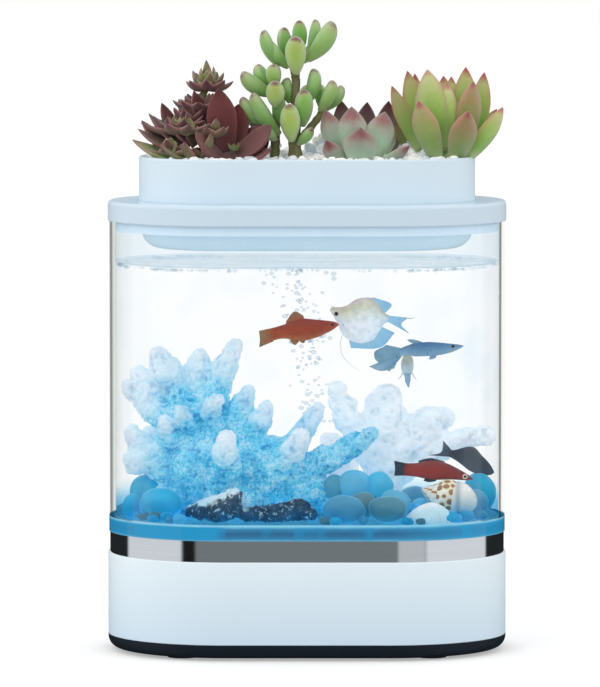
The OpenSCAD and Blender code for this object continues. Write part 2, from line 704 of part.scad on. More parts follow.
// a rosette at c: rings of [count, start angle, reach, rise, leaf half width]
module rosette(c, rings) {
  for (k = rings) for (i = [0:k[0] - 1]) {
    a = k[1] + i * 360 / k[0];
    leaf([c[0] + cos(a) * 1.5, c[1] + sin(a) * 1.5, c[2]],
         [c[0] + cos(a) * k[2], c[1] + sin(a) * k[2], c[2] + k[3]], k[4]);
  }
}

module stem(p, q, a, b) { limb(p, q, a, b, 8); }

// keeps a plant's foot on the soil
module planted() {
  difference() {
    union() children();
    translate([-100, -60, soil_z - 30]) cube([200, 120, 30]);
  }
}

module red_sedum() {
  color([0.45, 0.17, 0.19]) planted() {
    translate(sp([-56, -6, 207])) cylinder(d = 9, h = 3, $fn = 16);
    stem(sp([-56, -6, 209]), sp([-48, -2, 234]), 2.4, 1.8);
    stem(sp([-56, -6, 209]), sp([-60, -8, 216]), 3, 2);
    rosette(sp([-60, -9, 215]), [[6, 10, 13, 2, 2.2], [4, 35, 8.5, 8, 2.1]]);
    rosette(sp([-50.5, -3, 225]), [[6, 0, 10, 4, 2.1], [4, 30, 6, 9, 1.8]]);
    rosette(sp([-48, -2, 234]), [[5, 20, 9, 7, 1.7], [3, 0, 3.6, 13, 1.6]]);
  }
}

module maroon_rosette() {
  color([0.4, 0.13, 0.16]) planted() {
    translate(sp([-34, -14, 207])) cylinder(d = 9, h = 5, $fn = 16);
    stem(sp([-34, -14, 211]), sp([-31, -16, 217]), 3.4, 3);
    leaf(sp([-31, -16, 216]), sp([-36, -17, 239]), 4.2);
    leaf(sp([-31, -16, 216]), sp([-16.6, -20, 226]), 4);
    leaf(sp([-31, -16, 215]), sp([-17, -19, 216]), 3.4);
    leaf(sp([-31, -16, 215]), sp([-44.5, -19, 223]), 3);
    leaf(sp([-31, -16, 216]), sp([-29, -27, 221]), 3.4);
  }
}

module jelly_bean_plant() {
  color([0.5, 0.7, 0.3]) planted() {
    translate(sp([-5, -8, 207])) cylinder(d = 8, h = 2, $fn = 16);
    stem(sp([-5, -8, 208]), sp([-4.4, -6, 256]), 2.2, 1.4);
    stem(sp([-6, -8, 214]), sp([-14, -4, 226]), 1.8, 1.4);
    stem(sp([-5, -8, 220]), sp([5, -6, 234]), 1.6, 1.2);
    leaf(sp([-5, -6, 254]), sp([-17, -6, 264]), 3.4);
    leaf(sp([-5, -6, 255]), sp([-10, -2, 266]), 3);
    leaf(sp([-4.5, -6, 256]), sp([-3.6, -3, 269.6]), 2.8);
    leaf(sp([-4, -6, 256]), sp([3, -3, 269.4]), 2.8);
    leaf(sp([-4, -6, 254]), sp([10.6, -7, 268]), 3.8);
    leaf(sp([-4.6, -7, 250]), sp([-5, -15, 262]), 3.8);
    leaf(sp([-5, -6, 236]), sp([-25.6, -5, 247]), 3.6);
    leaf(sp([-5, -6, 238]), sp([-17, -11, 244]), 3.4);
    leaf(sp([-4.4, -6, 234]), sp([3.4, -8, 248]), 3);
    leaf(sp([5, -6, 234]), sp([11, -8, 243]), 3.2);
    leaf(sp([-5, -8, 222]), sp([-3, -14, 238]), 3.8);
    leaf(sp([-6, -8, 218]), sp([-7, -17, 232]), 3.8);
    leaf(sp([-12, -5, 224]), sp([-22, -5, 236]), 3.2);
  }
}

module pale_rosette() {
  color([0.68, 0.74, 0.62]) planted() {
    translate(sp([23, -10, 207])) cylinder(d = 12, h = 3, $fn = 16);
    stem(sp([23, -10, 209]), sp([23, -10, 213]), 5, 4);
    rosette(sp([23, -10, 212]), [[6, 20, 13, 9, 3.8], [5, 55, 9, 19, 3.4]]);
    leaf(sp([23, -10, 212]), sp([37.5, -12, 215]), 3);
  }
}

module green_rosette() {
  color([0.55, 0.72, 0.38]) planted() {
    translate(sp([56, -6, 205])) cylinder(d = 13, h = 6, $fn = 16);
    translate(sp([57, -6, 214])) sphere(6, $fn = 12);
    for (k = [[6, 22, 19, 20, 4], [5, 4, 12.4, 32, 3.9]]) for (i = [0:k[0] - 1]) {
      a = k[1] + i * 360 / k[0];
      leaf(sp([57 + cos(a) * 3, -6 + sin(a) * 3, 214.5]),
           sp([57 + cos(a) * k[2], -6 + sin(a) * k[2], 213 + k[3]]), k[4]);
    }
    leaf(sp([60, -7.5, 214]), sp([82, -9, 233]), 3.7);
  }
}

foot_tray();
rubber_feet();
base_shell();
base_screws();
polished_band();
deck_ring();
deck_screws();
led_board();
led_chips();
diffuser_panel();
pump_dampers();
pump_housing();
pump_cover();
pump_core();
pump_coil();
pump_pin();
pump_arm();
pump_magnets();
pump_bellows();
valve_chamber();
inlet_hose();
check_valve();
air_hose();
control_board();
board_components();
board_screws();
power_socket();
socket_pin();
light_button();
switch_board();
light_switch();
tank_glass();
floor_gland();
gland_nut();
gland_seal();
filter_cup();
filter_sponge();
filter_cap();
air_stone();
blue_coral();
dark_rocks();
white_coral();
glass_pebbles();
spotted_shell();
white_shell();
lid_frame();
planter_tub();
planter_grid();
root_fleece();
soil();
white_gravel();
red_sedum();
maroon_rosette();
jelly_bean_plant();
pale_rosette();
green_rosette();
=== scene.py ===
"""Looks of the aquarium tank with a planted lid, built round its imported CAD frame.
Lengths in the lists are millimetres; meshes are written in metres."""
import math
import random
import bpy
import numpy as np
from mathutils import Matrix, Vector, noise


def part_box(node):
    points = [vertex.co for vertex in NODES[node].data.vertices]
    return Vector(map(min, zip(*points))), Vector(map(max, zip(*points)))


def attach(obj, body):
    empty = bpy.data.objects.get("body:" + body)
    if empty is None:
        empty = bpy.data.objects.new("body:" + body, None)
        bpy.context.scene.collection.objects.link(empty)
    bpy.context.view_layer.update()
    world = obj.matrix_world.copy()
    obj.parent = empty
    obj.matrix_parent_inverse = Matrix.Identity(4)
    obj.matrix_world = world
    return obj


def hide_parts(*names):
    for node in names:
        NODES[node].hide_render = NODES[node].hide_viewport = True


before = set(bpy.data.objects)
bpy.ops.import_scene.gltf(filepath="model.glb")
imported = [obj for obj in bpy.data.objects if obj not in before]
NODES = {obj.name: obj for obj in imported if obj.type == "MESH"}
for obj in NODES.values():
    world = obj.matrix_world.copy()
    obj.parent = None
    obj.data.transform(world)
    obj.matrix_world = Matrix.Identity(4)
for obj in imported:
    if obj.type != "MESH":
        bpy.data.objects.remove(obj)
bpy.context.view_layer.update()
MM = 0.001
random.seed(5)
rng = np.random.default_rng(5)


def top(node):
    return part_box(node)[1] / MM


def low(node):
    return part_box(node)[0] / MM


glass_lo, glass_hi = low("tank_glass"), top("tank_glass")
FLOOR = low("blue_coral").z
SOIL = top("soil").z
RIM = top("planter_tub").z
LX, LY = glass_hi.x - 49.6, glass_hi.y - 49.6      # centres of the rounded ends
INNER = glass_hi.x - LX - 2.5                      # radius of the glass's inner face
WATER = glass_hi.z - 17.7

# ------------------------------------------------------------------ shader helpers


class Mat:
    """A material with a small way to write node graphs."""

    def __init__(self, name):
        self.m = bpy.data.materials.new(name)
        self.m.use_nodes = True
        self.t = self.m.node_tree
        self.t.nodes.clear()
        self.out = self.t.nodes.new("ShaderNodeOutputMaterial")

    def set(self, socket, value):
        if isinstance(value, bpy.types.NodeSocket):
            self.t.links.new(value, socket)
        elif value is not None:
            if isinstance(value, (tuple, list)) and len(value) == 3 and socket.type == "RGBA":
                value = (*value, 1)
            socket.default_value = value

    def add(self, kind, outs=0, ins=None, **props):
        n = self.t.nodes.new("ShaderNode" + kind)
        for k, v in props.items():
            setattr(n, k, v)
        for k, v in (ins or {}).items():
            self.set(n.inputs[k], v)
        return n.outputs[outs]

    def pos(self):
        return self.add("TexCoord", "Object")

    def z(self):
        return self.add("SeparateXYZ", "Z", {"Vector": self.pos()})

    def noise(self, scale, detail=3.0, rough=0.5, vector=None, distortion=0.0):
        return self.add("TexNoise", 0, {"Vector": vector or self.pos(), "Scale": scale, "Detail": detail,
                                        "Roughness": rough, "Distortion": distortion})

    def ramp(self, fac, stops, interp="LINEAR"):
        n = self.t.nodes.new("ShaderNodeValToRGB")
        n.color_ramp.interpolation = interp
        e = n.color_ramp.elements
        while len(e) < len(stops):
            e.new(1.0)
        for k, (p, c) in zip(e, stops):
            k.position = p
            k.color = (c, c, c, 1) if isinstance(c, (int, float)) else (*c, 1)
        self.set(n.inputs[0], fac)
        return n.outputs[0]

    def mix(self, fac, a, b, mode="MIX"):
        n = self.t.nodes.new("ShaderNodeMix")
        n.data_type = "RGBA"
        n.blend_type = mode
        n.clamp_factor = True
        self.set(n.inputs[0], fac)
        self.set(n.inputs[6], a)
        self.set(n.inputs[7], b)
        return n.outputs[2]

    def math(self, op, a, b=0.0, clamp=False):
        n = self.t.nodes.new("ShaderNodeMath")
        n.operation = op
        n.use_clamp = clamp
        self.set(n.inputs[0], a)
        self.set(n.inputs[1], b)
        return n.outputs[0]

    def map(self, v, a, b, c=0.0, d=1.0):
        return self.add("MapRange", 0, {"Value": v, "From Min": a, "From Max": b, "To Min": c, "To Max": d})

    def attr(self, name):
        return self.add("Attribute", "Fac", attribute_name=name)

    def bump(self, height, strength, distance):
        return self.add("Bump", 0, {"Height": height, "Strength": strength, "Distance": distance})

    def principled(self, color, rough=0.5, metal=0.0, spec=0.5, normal=None, coat=0.0, emit=None, strength=0.0, **more):
        ins = {"Base Color": color, "Roughness": rough, "Metallic": metal, "Specular IOR Level": spec, "Coat Weight": coat}
        if normal is not None:
            ins["Normal"] = normal
        if emit is not None:
            ins["Emission Color"] = emit
            ins["Emission Strength"] = strength
        ins.update(more)
        return self.add("BsdfPrincipled", 0, ins)

    def blend(self, fac, a, b):
        n = self.t.nodes.new("ShaderNodeMixShader")
        self.set(n.inputs[0], fac)
        self.set(n.inputs[1], a)
        self.set(n.inputs[2], b)
        return n.outputs[0]

    def done(self, shader):
        self.set(self.out.inputs["Surface"], shader)
        return self.m


def lin(r, g, b):
    """0..255 screen colour to linear."""
    f = lambda c: c / 12.92 if c <= 0.04045 else ((c + 0.055) / 1.055) ** 2.4
    return tuple(f(x / 255) for x in (r, g, b))


def plain(name, color, rough=0.45, metal=0.0, spec=0.5, vary=0.05, scale=70, grain=0.12, grain_scale=900, coat=0.0):
    """A solid material with its own mottling, uneven finish and fine grain."""
    g = Mat(name)
    n = g.noise(scale, 4)
    dark = tuple(c * (1 - vary) for c in color)
    light = tuple(min(1, c * (1 + vary)) for c in color)
    col = g.mix(g.map(n, 0.3, 0.7), dark, light)
    r = g.map(g.noise(scale * 3, 3), 0.2, 0.8, rough * 0.85, min(1, rough * 1.15))
    b = g.bump(g.noise(grain_scale, 2), grain, 0.0002)
    return g.done(g.principled(col, r, metal, spec, b, coat))


def give(node, material):
    o = NODES[node]
    o.data.materials.clear()
    o.data.materials.append(material)
    for p in o.data.polygons:
        p.material_index = 0


# ------------------------------------------------------------------ mesh helpers


class Acc:
    """Collects many small solids into one mesh with per-vertex values."""

    def __init__(self):
        self.v, self.f, self.a, self.n = [], [], {}, 0

    def put(self, v, f, **attrs):
        v = np.asarray(v, float)
        self.v.append(v)
        self.f.extend([tuple(i + self.n for i in q) for q in f])
        for k, x in attrs.items():
            x = np.full(len(v), float(x)) if np.isscalar(x) else np.asarray(x, float)
            self.a.setdefault(k, []).append(x)
        self.n += len(v)

    def make(self, name, material, body, smooth=True, replaces=(), slot=None):
        v = np.concatenate(self.v)
        return solid(name, v, self.f, material, body, smooth, {k: np.concatenate(x) for k, x in self.a.items()}, replaces)


def solid(name, v, f, material, body, smooth=True, attrs=None, replaces=()):
    me = bpy.data.meshes.new(name)
    me.from_pydata((np.asarray(v) * MM).tolist(), [], [tuple(int(i) for i in q) for q in f])
    me.update()
    for k, x in (attrs or {}).items():
        a = me.attributes.new(k, "FLOAT", "POINT")
        a.data.foreach_set("value", np.asarray(x, np.float32))
    if smooth:
        me.polygons.foreach_set("use_smooth", [True] * len(me.polygons))
    me.materials.append(material)
    o = bpy.data.objects.new(name, me)
    bpy.context.scene.collection.objects.link(o)
    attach(o, body)
    if replaces:
        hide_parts(*replaces)
    return o


def loft(rings, close=True):
    """Faces of a closed skin through rings of equal length; its ends are capped."""
    nu, nv = len(rings), len(rings[0])
    v = [p for r in rings for p in r]
    f = []
    for i in range(nu - 1):
        for j in range(nv):
            k = (j + 1) % nv
            f.append((i * nv + j, i * nv + k, (i + 1) * nv + k, (i + 1) * nv + j))
    if close:
        for i, flip in ((0, True), (nu - 1, False)):
            c = len(v)
            v.append(np.mean(rings[i], axis=0))
            for j in range(nv):
                k = (j + 1) % nv
                t = (i * nv + j, i * nv + k, c)
                f.append(t[::-1] if flip else t)
    return np.array(v, float), f


def unit(a):
    a = np.asarray(a, float)
    return a / (np.linalg.norm(a) + 1e-12)


_ico = {}


def ico(level):
    if level not in _ico:
        me = bpy.data.meshes.new("tmp")
        import bmesh
        bm = bmesh.new()
        bmesh.ops.create_icosphere(bm, subdivisions=level, radius=1)
        _ico[level] = (np.array([v.co[:] for v in bm.verts]), [tuple(v.index for v in f.verts) for f in bm.faces])
        bm.free()
        bpy.data.meshes.remove(me)
    return _ico[level]


def lumpy(v, amp, freq, seed):
    """Moves points of a small solid in and out by a smooth noise."""
    out = []
    for p in v:
        k = noise.noise(Vector((p[0] * freq + seed, p[1] * freq - seed, p[2] * freq + 2.3 * seed)))
        out.append(p * (1 + amp * k))
    return np.array(out)


def tube(points, radii, nv=10):
    """A round limb through points."""
    pts = np.asarray(points, float)
    rings = []
    for i, p in enumerate(pts):
        t = unit(pts[min(i + 1, len(pts) - 1)] - pts[max(i - 1, 0)])
        a = unit(np.cross(t, (0.3, 0.9, 0.2)))
        b = np.cross(t, a)
        r = radii[i]
        rings.append([p + r * (math.cos(w) * a + math.sin(w) * b) for w in np.linspace(0, 2 * math.pi, nv, endpoint=False)])
    return loft(rings)


def curve(points, n):
    """A smooth line through points (Catmull-Rom)."""
    p = np.asarray(points, float)
    q = np.vstack([2 * p[0] - p[1], p, 2 * p[-1] - p[-2]])
    out = []
    for u in np.linspace(0, len(p) - 1, n):
        i = min(int(u), len(p) - 2)
        t = u - i
        a, b, c, d = q[i], q[i + 1], q[i + 2], q[i + 3]
        out.append(0.5 * (2 * b + (c - a) * t + (2 * a - 5 * b + 4 * c - d) * t * t + (3 * b - a - 3 * c + d) * t ** 3))
    return np.array(out)


def outline(r, n=160):
    """Points of the tank's rounded outline at distance r from the centres of its ends."""
    out = []
    for w in np.linspace(0, 2 * math.pi, n, endpoint=False):
        c, s = math.cos(w), math.sin(w)
        out.append((LX * (1 if c > 0 else -1) * min(1, abs(c) * 6) + r * c, LY * (1 if s > 0 else -1) * min(1, abs(s) * 6) + r * s))
    return np.array(out)


def inside(x, y, r):
    return math.hypot(max(abs(x) - LX, 0), max(abs(y) - LY, 0)) < r


# ------------------------------------------------------------------ CAD finishes

WHITE = lin(221, 236, 246)


def shaded(name, high, lower, z0, z1, rough=0.36, glow=None):
    """White plastic with painted shade: its colour goes from lower at one height to high at the other, so the part is
    drawn darker towards the bottom and lighter at the top; below the glow height a painted glow of emission stands in
    for the lit water's light.
    """
    g = Mat(name)
    z = g.z()
    col = g.mix(g.map(z, z0 * MM, z1 * MM), lower, high)
    col = g.mix(g.map(g.noise(25, 4), 0.3, 0.7, 0.0, 0.5), col, g.mix(1.0, col, (0.97, 0.97, 0.97), "MULTIPLY"))
    k = g.map(z, (glow - 1.5) * MM, (glow + 0.5) * MM, 0.28, 0.0) if glow else 0.0
    return g.done(g.principled(col, g.map(g.noise(75, 3), 0.2, 0.8, rough * 0.9, rough * 1.1), spec=0.12, coat=0.0, emit=col if glow else None, strength=k, normal=g.bump(g.noise(1400, 2), 0.05, 0.0002)))


# painted shade: the base shell is drawn lighter at the top and darker towards the bottom
give("base_shell", shaded("white_plastic_painted_shade", lin(236, 249, 255), lin(214, 234, 248), low("base_shell").z, top("base_shell").z, 0.34))
# painted glow: the lid's skirt below the glass top glows, standing in for the lit water's light
give("lid_frame", shaded("lid_white_plastic", lin(209, 227, 240), lin(209, 227, 240), 180, 190, 0.36, glow=glass_hi.z))
# painted shade and glow: the tub is drawn darker towards its bottom, and glows below the glass top
give("planter_tub", shaded("tub_white_plastic", lin(219, 235, 245), lin(203, 224, 236), glass_hi.z - 3, glass_hi.z + 6, 0.36, glow=glass_hi.z))
give("foot_tray", plain("charcoal_plastic", lin(8, 24, 36), 0.62, spec=0.25, vary=0.12, scale=90, grain=0.3, grain_scale=1500))
give("light_button", plain("button_plastic", lin(205, 214, 222), 0.4, vary=0.03))
give("power_socket", plain("socket_plastic", lin(22, 24, 27), 0.45, vary=0.1))
rubber = plain("black_rubber", lin(24, 25, 27), 0.8, spec=0.3, vary=0.15, grain=0.5)
steel = plain("screw_steel", (0.62, 0.62, 0.6), 0.28, 1.0, vary=0.06, grain=0.15)
grey = plain("grey_nylon", lin(120, 126, 132), 0.5, vary=0.05)
silicone = plain("soft_silicone", lin(205, 214, 218), 0.5, vary=0.04)
board = plain("green_laminate", lin(18, 84, 54), 0.4, vary=0.16, scale=300)
copper = plain("copper_winding", (0.72, 0.3, 0.14), 0.35, 1.0, vary=0.12, scale=500)
for names, m in ((("rubber_feet", "pump_dampers", "gland_seal"), rubber), (("base_screws", "deck_screws", "board_screws", "pump_pin", "socket_pin"), steel),
                 (("deck_ring", "floor_gland", "gland_nut", "valve_chamber", "check_valve"), grey),
                 (("inlet_hose", "air_hose", "pump_bellows"), silicone), (("led_board", "control_board", "switch_board"), board),
                 (("pump_coil",), copper)):
    for n in names:
        give(n, m)
give("pump_housing", plain("pump_housing_plastic", lin(46, 50, 56), 0.5, vary=0.08))
give("pump_cover", plain("pump_cover_plastic", lin(58, 63, 70), 0.5, vary=0.08))
give("pump_core", plain("core_laminations", (0.3, 0.3, 0.31), 0.45, 1.0, vary=0.1, scale=600))
give("pump_arm", plain("arm_spring_steel", (0.52, 0.53, 0.55), 0.3, 1.0, vary=0.05))
give("pump_magnets", plain("nickel_magnet", (0.7, 0.68, 0.62), 0.22, 1.0, vary=0.05))
give("board_components", plain("epoxy_parts", lin(34, 34, 38), 0.4, vary=0.25, scale=260))
give("light_switch", plain("switch_body", lin(150, 152, 150), 0.4, vary=0.08))
give("led_chips", plain("led_phosphor", lin(226, 214, 130), 0.3, vary=0.08))
# painted glow: the sponge and the air stone are drawn partly as emission of their own colour
for n, m in (("filter_sponge", "open_foam"), ("air_stone", "sintered_stone")):
    g = Mat(m)
    col = g.mix(g.ramp(g.noise(500, 4, 0.7), [(0.35, 0.0), (0.6, 1.0)]), lin(206, 222, 233), lin(240, 246, 250))
    give(n, g.done(g.blend(0.6, g.principled(col, 0.95, spec=0.1, emit=col, strength=0.15, normal=g.bump(g.noise(1800, 3), 0.8, 0.0004)), g.add("BsdfTransparent", 0, {"Color": (0.99, 0.995, 1.0)}))))
# painted glow and reflection: the clear acrylic gets a pale emissive layer that grows towards its grazing edges
g = Mat("clear_acrylic")
col = g.mix(g.noise(90, 3), lin(206, 226, 238), lin(232, 242, 248))
acry = g.done(g.blend(g.ramp(g.add("LayerWeight", "Facing", {"Blend": 0.4}), [(0.0, 0.03), (0.6, 0.07), (1.0, 0.3)]), g.add("BsdfTransparent", 0, {"Color": (0.995, 0.997, 1.0)}), g.principled(col, 0.2, emit=col, strength=0.12)))
give("filter_cup", acry)
give("filter_cap", acry)
give("planter_grid", plain("grid_plastic", lin(52, 56, 60), 0.5, vary=0.08))
give("root_fleece", plain("felt_fleece", lin(214, 214, 206), 0.95, spec=0.1, vary=0.1, scale=900, grain=1.0, grain_scale=3000))

g = Mat("frosted_diffuser")
n = g.noise(60, 3)
col = g.mix(n, (0.10, 0.56, 0.80), (0.2, 0.72, 0.92))
give("diffuser_panel", g.done(g.principled(col, 0.6, emit=col, strength=0.9)))

g = Mat("polished_metal")
streak = g.noise(40, 2, vector=g.add("Mapping", 0, {"Vector": g.pos(), "Scale": (0.3, 0.3, 60)}))
col = g.mix(streak, (0.80, 0.81, 0.82), (0.9, 0.91, 0.92))
give("polished_band", g.done(g.principled(col, g.map(streak, 0.2, 0.8, 0.05, 0.09), 1.0)))

# soil with crumbs of peat
g = Mat("peat_soil")
col = g.ramp(g.noise(420, 6, 0.7), [(0.3, lin(30, 20, 14)), (0.55, lin(62, 44, 32)), (0.75, lin(96, 76, 58))])
give("soil", g.done(g.principled(col, 0.95, spec=0.2, normal=g.bump(g.noise(700, 5, 0.7), 0.9, 0.0008))))

# ------------------------------------------------------------------ glass

g = Mat("tank_glass")
z = g.z()
facing = g.add("LayerWeight", "Facing", {"Blend": 0.5})
fres = g.add("Fresnel", 0, {"IOR": 1.45})
xyz = g.t.nodes.new("ShaderNodeSeparateXYZ")
g.set(xyz.inputs[0], g.pos())
px = g.math("MAXIMUM", g.math("SUBTRACT", g.math("ABSOLUTE", xyz.outputs[0]), LX * MM), 0.0)
py = g.math("MAXIMUM", g.math("SUBTRACT", g.math("ABSOLUTE", xyz.outputs[1]), LY * MM), 0.0)
outer = g.math("GREATER_THAN", g.math("SQRT", g.math("ADD", g.math("MULTIPLY", px, px), g.math("MULTIPLY", py, py))), (INNER + 1.2) * MM)
# painted shade: dark lines at set facing values on the outer glass, and a slight darkening at grazing on the inner
# glass, stand in for the refraction at the glass's edges
edge_a = g.ramp(facing, [(0.0, (1, 1, 1)), (0.50, (0.995, 1.0, 1.0)), (0.58, (0.965, 0.97, 0.965)), (0.69, (0.88, 0.90, 0.88)), (0.745, (0.78, 0.80, 0.79)),
                         (0.785, (0.50, 0.53, 0.52)), (0.86, (0.52, 0.55, 0.53)), (0.89, (0.93, 0.95, 0.94)), (1.0, (0.97, 0.98, 0.98))])
edge_b = g.ramp(facing, [(0.0, (1, 1, 1)), (0.56, (0.99, 0.995, 1.0)), (0.66, (0.95, 0.96, 0.965)), (0.685, (0.88, 0.89, 0.88)), (0.70, (0.44, 0.45, 0.43)),
                         (0.73, (0.50, 0.51, 0.49)), (0.76, (0.90, 0.91, 0.91)), (0.80, (0.975, 0.98, 0.985)), (1.0, (0.985, 0.99, 1.0))])
edge_o = g.mix(g.math("GREATER_THAN", xyz.outputs[0], 0.0), edge_a, edge_b)
edge_i = g.ramp(facing, [(0.0, (1, 1, 1)), (0.80, (0.995, 1, 1)), (0.93, (0.96, 0.97, 0.97)), (1.0, (0.92, 0.93, 0.93))])
# painted shade: above the waterline, under the lid, the inner glass is tinted grey-blue
above_water_shade = g.map(g.math("ADD", z, g.math("MULTIPLY", g.noise(400, 2), 0.0006)), (WATER - 0.6) * MM, (WATER + 0.4) * MM)
edge_i = g.mix(above_water_shade, edge_i, g.mix(1.0, edge_i, g.mix(g.noise(60, 4), (0.86, 0.92, 0.95), (0.94, 0.968, 0.98)), "MULTIPLY"))
edge = g.mix(outer, edge_i, edge_o)
clear = g.blend(g.map(fres, 0.03, 1.0, 0.006, 0.05), g.add("BsdfTransparent", 0, {"Color": edge}),
                g.add("BsdfGlossy", 0, {"Color": (0.95, 0.97, 1), "Roughness": 0.03}))
# painted glow: the glass below the tank floor is drawn as blue emission in bands by height, with bluer patches and
# ends, standing in for the LED light carried through the slab
b0, b1 = glass_lo.z * MM, FLOOR * MM
lvl = g.map(z, b0, b1 + 0.0006)
wav = g.math("MULTIPLY", g.math("SUBTRACT", g.noise(120, 3), 0.5), 0.12)
lvl2 = g.math("ADD", lvl, wav)
strip = g.ramp(lvl2, [(0.0, lin(106, 172, 206)), (0.10, lin(72, 150, 192)), (0.2, lin(56, 122, 164)), (0.5, lin(48, 104, 146)), (0.78, lin(60, 134, 178)),
                      (0.9, lin(104, 184, 218)), (1.0, lin(150, 214, 238))])
ends = g.map(g.math("ABSOLUTE", xyz.outputs[0]), 0.035, 0.07, 0.0, 0.75)
cloud = g.map(g.noise(70, 3, vector=g.add("Mapping", 0, {"Vector": g.pos(), "Scale": (1, 1, 0.4)})), 0.48, 0.66)
patch = g.mix(g.math("ADD", cloud, ends, True), strip, lin(42, 150, 200))
patch = g.mix(g.ramp(lvl, [(0.0, 1.0), (0.14, 0.0), (0.84, 0.0), (0.92, 1.0)]), patch, strip)
slab = g.blend(g.math("MULTIPLY", fres, 0.6), g.add("Emission", 0, {"Color": patch, "Strength": 1.0}), g.add("BsdfGlossy", 0, {"Roughness": 0.05}))
seen = g.add("LightPath", "Is Camera Ray")
whole = g.blend(g.map(z, b1 + 0.0003, b1 + 0.0008, 1.0, 0.0), clear, slab)
give("tank_glass", g.done(g.blend(seen, g.add("BsdfTransparent", 0, {"Color": (1, 1, 1)}), whole)))

# ------------------------------------------------------------------ water

g = Mat("water_body")
# painted light: where the camera sees it, the water is tinted blue near the floor and fades to clear higher up,
# standing in for the blue light from below
h = g.map(g.z(), FLOOR * MM, (FLOOR + 14) * MM)
h = g.math("ADD", h, g.math("MULTIPLY", g.math("SUBTRACT", g.noise(38, 2), 0.5), 0.35))
tint = g.ramp(h, [(0.0, lin(158, 214, 238)), (0.45, lin(180, 222, 242)), (0.75, lin(228, 243, 250)), (1.0, lin(252, 253, 254))])
give_water = g.done(g.blend(g.add("LightPath", "Is Camera Ray"), g.add("BsdfTransparent", 0, {"Color": (1, 1, 1)}), g.add("BsdfTransparent", 0, {"Color": tint})))

g = Mat("water_surface")
fres = g.add("Fresnel", 0, {"IOR": 1.33})
seen = g.add("LightPath", "Is Camera Ray")
# painted reflection: the water surface is drawn as a pale emission, standing in for the light it reflects
pale_surface_glow = g.mix(g.noise(140, 3), lin(206, 226, 238), lin(226, 239, 247))
body = g.blend(0.6, g.add("BsdfTransparent", 0, {"Color": (0.97, 0.985, 1.0)}), g.add("Emission", 0, {"Color": pale_surface_glow, "Strength": 1.0}))
body = g.blend(g.map(fres, 0.05, 1.0, 0.0, 0.12), body, g.add("BsdfGlossy", 0, {"Roughness": 0.08}))
water_top_mat = g.done(g.blend(seen, g.add("BsdfTransparent", 0, {"Color": (1, 1, 1)}), body))

rings, R = [], INNER - 0.25
for zz in np.concatenate([np.linspace(FLOOR + 0.2, FLOOR + 22, 8), np.linspace(FLOOR + 30, WATER, 6)]):
    rings.append([(x, y, zz) for x, y in outline(R)])
v, f = loft(rings, close=False)
wall = Acc()
wall.put(v, f)
wall.make("water", give_water, "base")
rings = []
for r in np.linspace(R, 0.05, 46):
    ring = []
    for x, y in outline(r):
        d = R - r
        k = noise.noise(Vector((x * 0.09, y * 0.12, 3.1))) * 0.5 + noise.noise(Vector((x * 0.3, y * 0.35, 7.7))) * 0.3
        lift = 0.8 * math.exp(-d / 0.8)
        ring.append((x, y, WATER + k * min(1, d / 3) + lift))
    rings.append(ring)
v, f = loft(rings, close=False)
nv = len(rings[0])
f.append(tuple((len(rings) - 1) * nv + j for j in range(nv)))
wt = Acc()
wt.put(v, f)
wt.make("water_surface", water_top_mat, "base")

# ------------------------------------------------------------------ bubbles

g = Mat("air_bubble")
facing = g.add("LayerWeight", "Facing", {"Blend": 0.5})
# painted shade: a bubble's tint darkens towards its grazing rim, standing in for the light bent at its edge
rim = g.ramp(facing, [(0.0, (0.92, 0.95, 0.97)), (0.35, (0.86, 0.91, 0.945)), (0.75, (0.72, 0.80, 0.86)), (1.0, (0.6, 0.69, 0.76))])
bubble_mat = g.done(g.blend(0.08, g.add("BsdfTransparent", 0, {"Color": rim}), g.add("BsdfGlossy", 0, {"Roughness": 0.05})))
iv, ifc = ico(2)
acc = Acc()
ax, ay = (low("air_stone") + top("air_stone")).x / 2, (low("air_stone") + top("air_stone")).y / 2
z0 = top("air_stone").z + 3
for i in range(150):
    u = rng.random() ** 0.9
    zz = z0 + u * (WATER - z0 - 2)
    w = 5 + 9 * u + 3 * math.sin(u * 9)
    x = ax - 6 - 9 * u + rng.normal(0, 0.55) * w
    y = ay + rng.normal(0, 0.4) * w * 0.8
    if not inside(x, y, INNER - 3):
        continue
    r = 0.5 + 0.62 * rng.random() ** 2
    acc.put(lumpy(iv, 0.25, 1.2, i * 3.1) * (r * (1 + 0.2 * rng.random()), r, r * 0.85) + (x, y, zz), ifc)
acc.make("air_bubbles", bubble_mat, "base")
g = Mat("surface_foam")
# painted shade: each foam bubble's tint darkens towards its grazing rim
rim = g.ramp(g.add("LayerWeight", "Facing", {"Blend": 0.5}), [(0.0, (0.98, 0.99, 0.995)), (0.4, (0.94, 0.965, 0.98)), (0.8, (0.80, 0.86, 0.90)), (1.0, (0.68, 0.77, 0.84))])
foam_mat = g.done(g.blend(g.map(g.noise(300, 2), 0.3, 0.7, 0.02, 0.06), g.add("BsdfTransparent", 0, {"Color": rim}), g.add("BsdfGlossy", 0, {"Roughness": 0.05})))
acc = Acc()
edge_pts = outline(INNER - 1.1, 720)
for i in range(760):
    x, y = edge_pts[rng.integers(0, 720)]
    if abs(x) > 66 and rng.random() < 0.8:
        continue
    r = 0.35 + 0.6 * rng.random() ** 2
    k = 1 - 0.02 * rng.random() ** 2
    acc.put(lumpy(iv, 0.3, 1.2, i * 1.7) * (r, r, r * 0.75) + (x * k, y * k, WATER - 0.3 - rng.random() * 0.9), ifc)
acc.make("surface_foam", foam_mat, "base")

# ------------------------------------------------------------------ coral


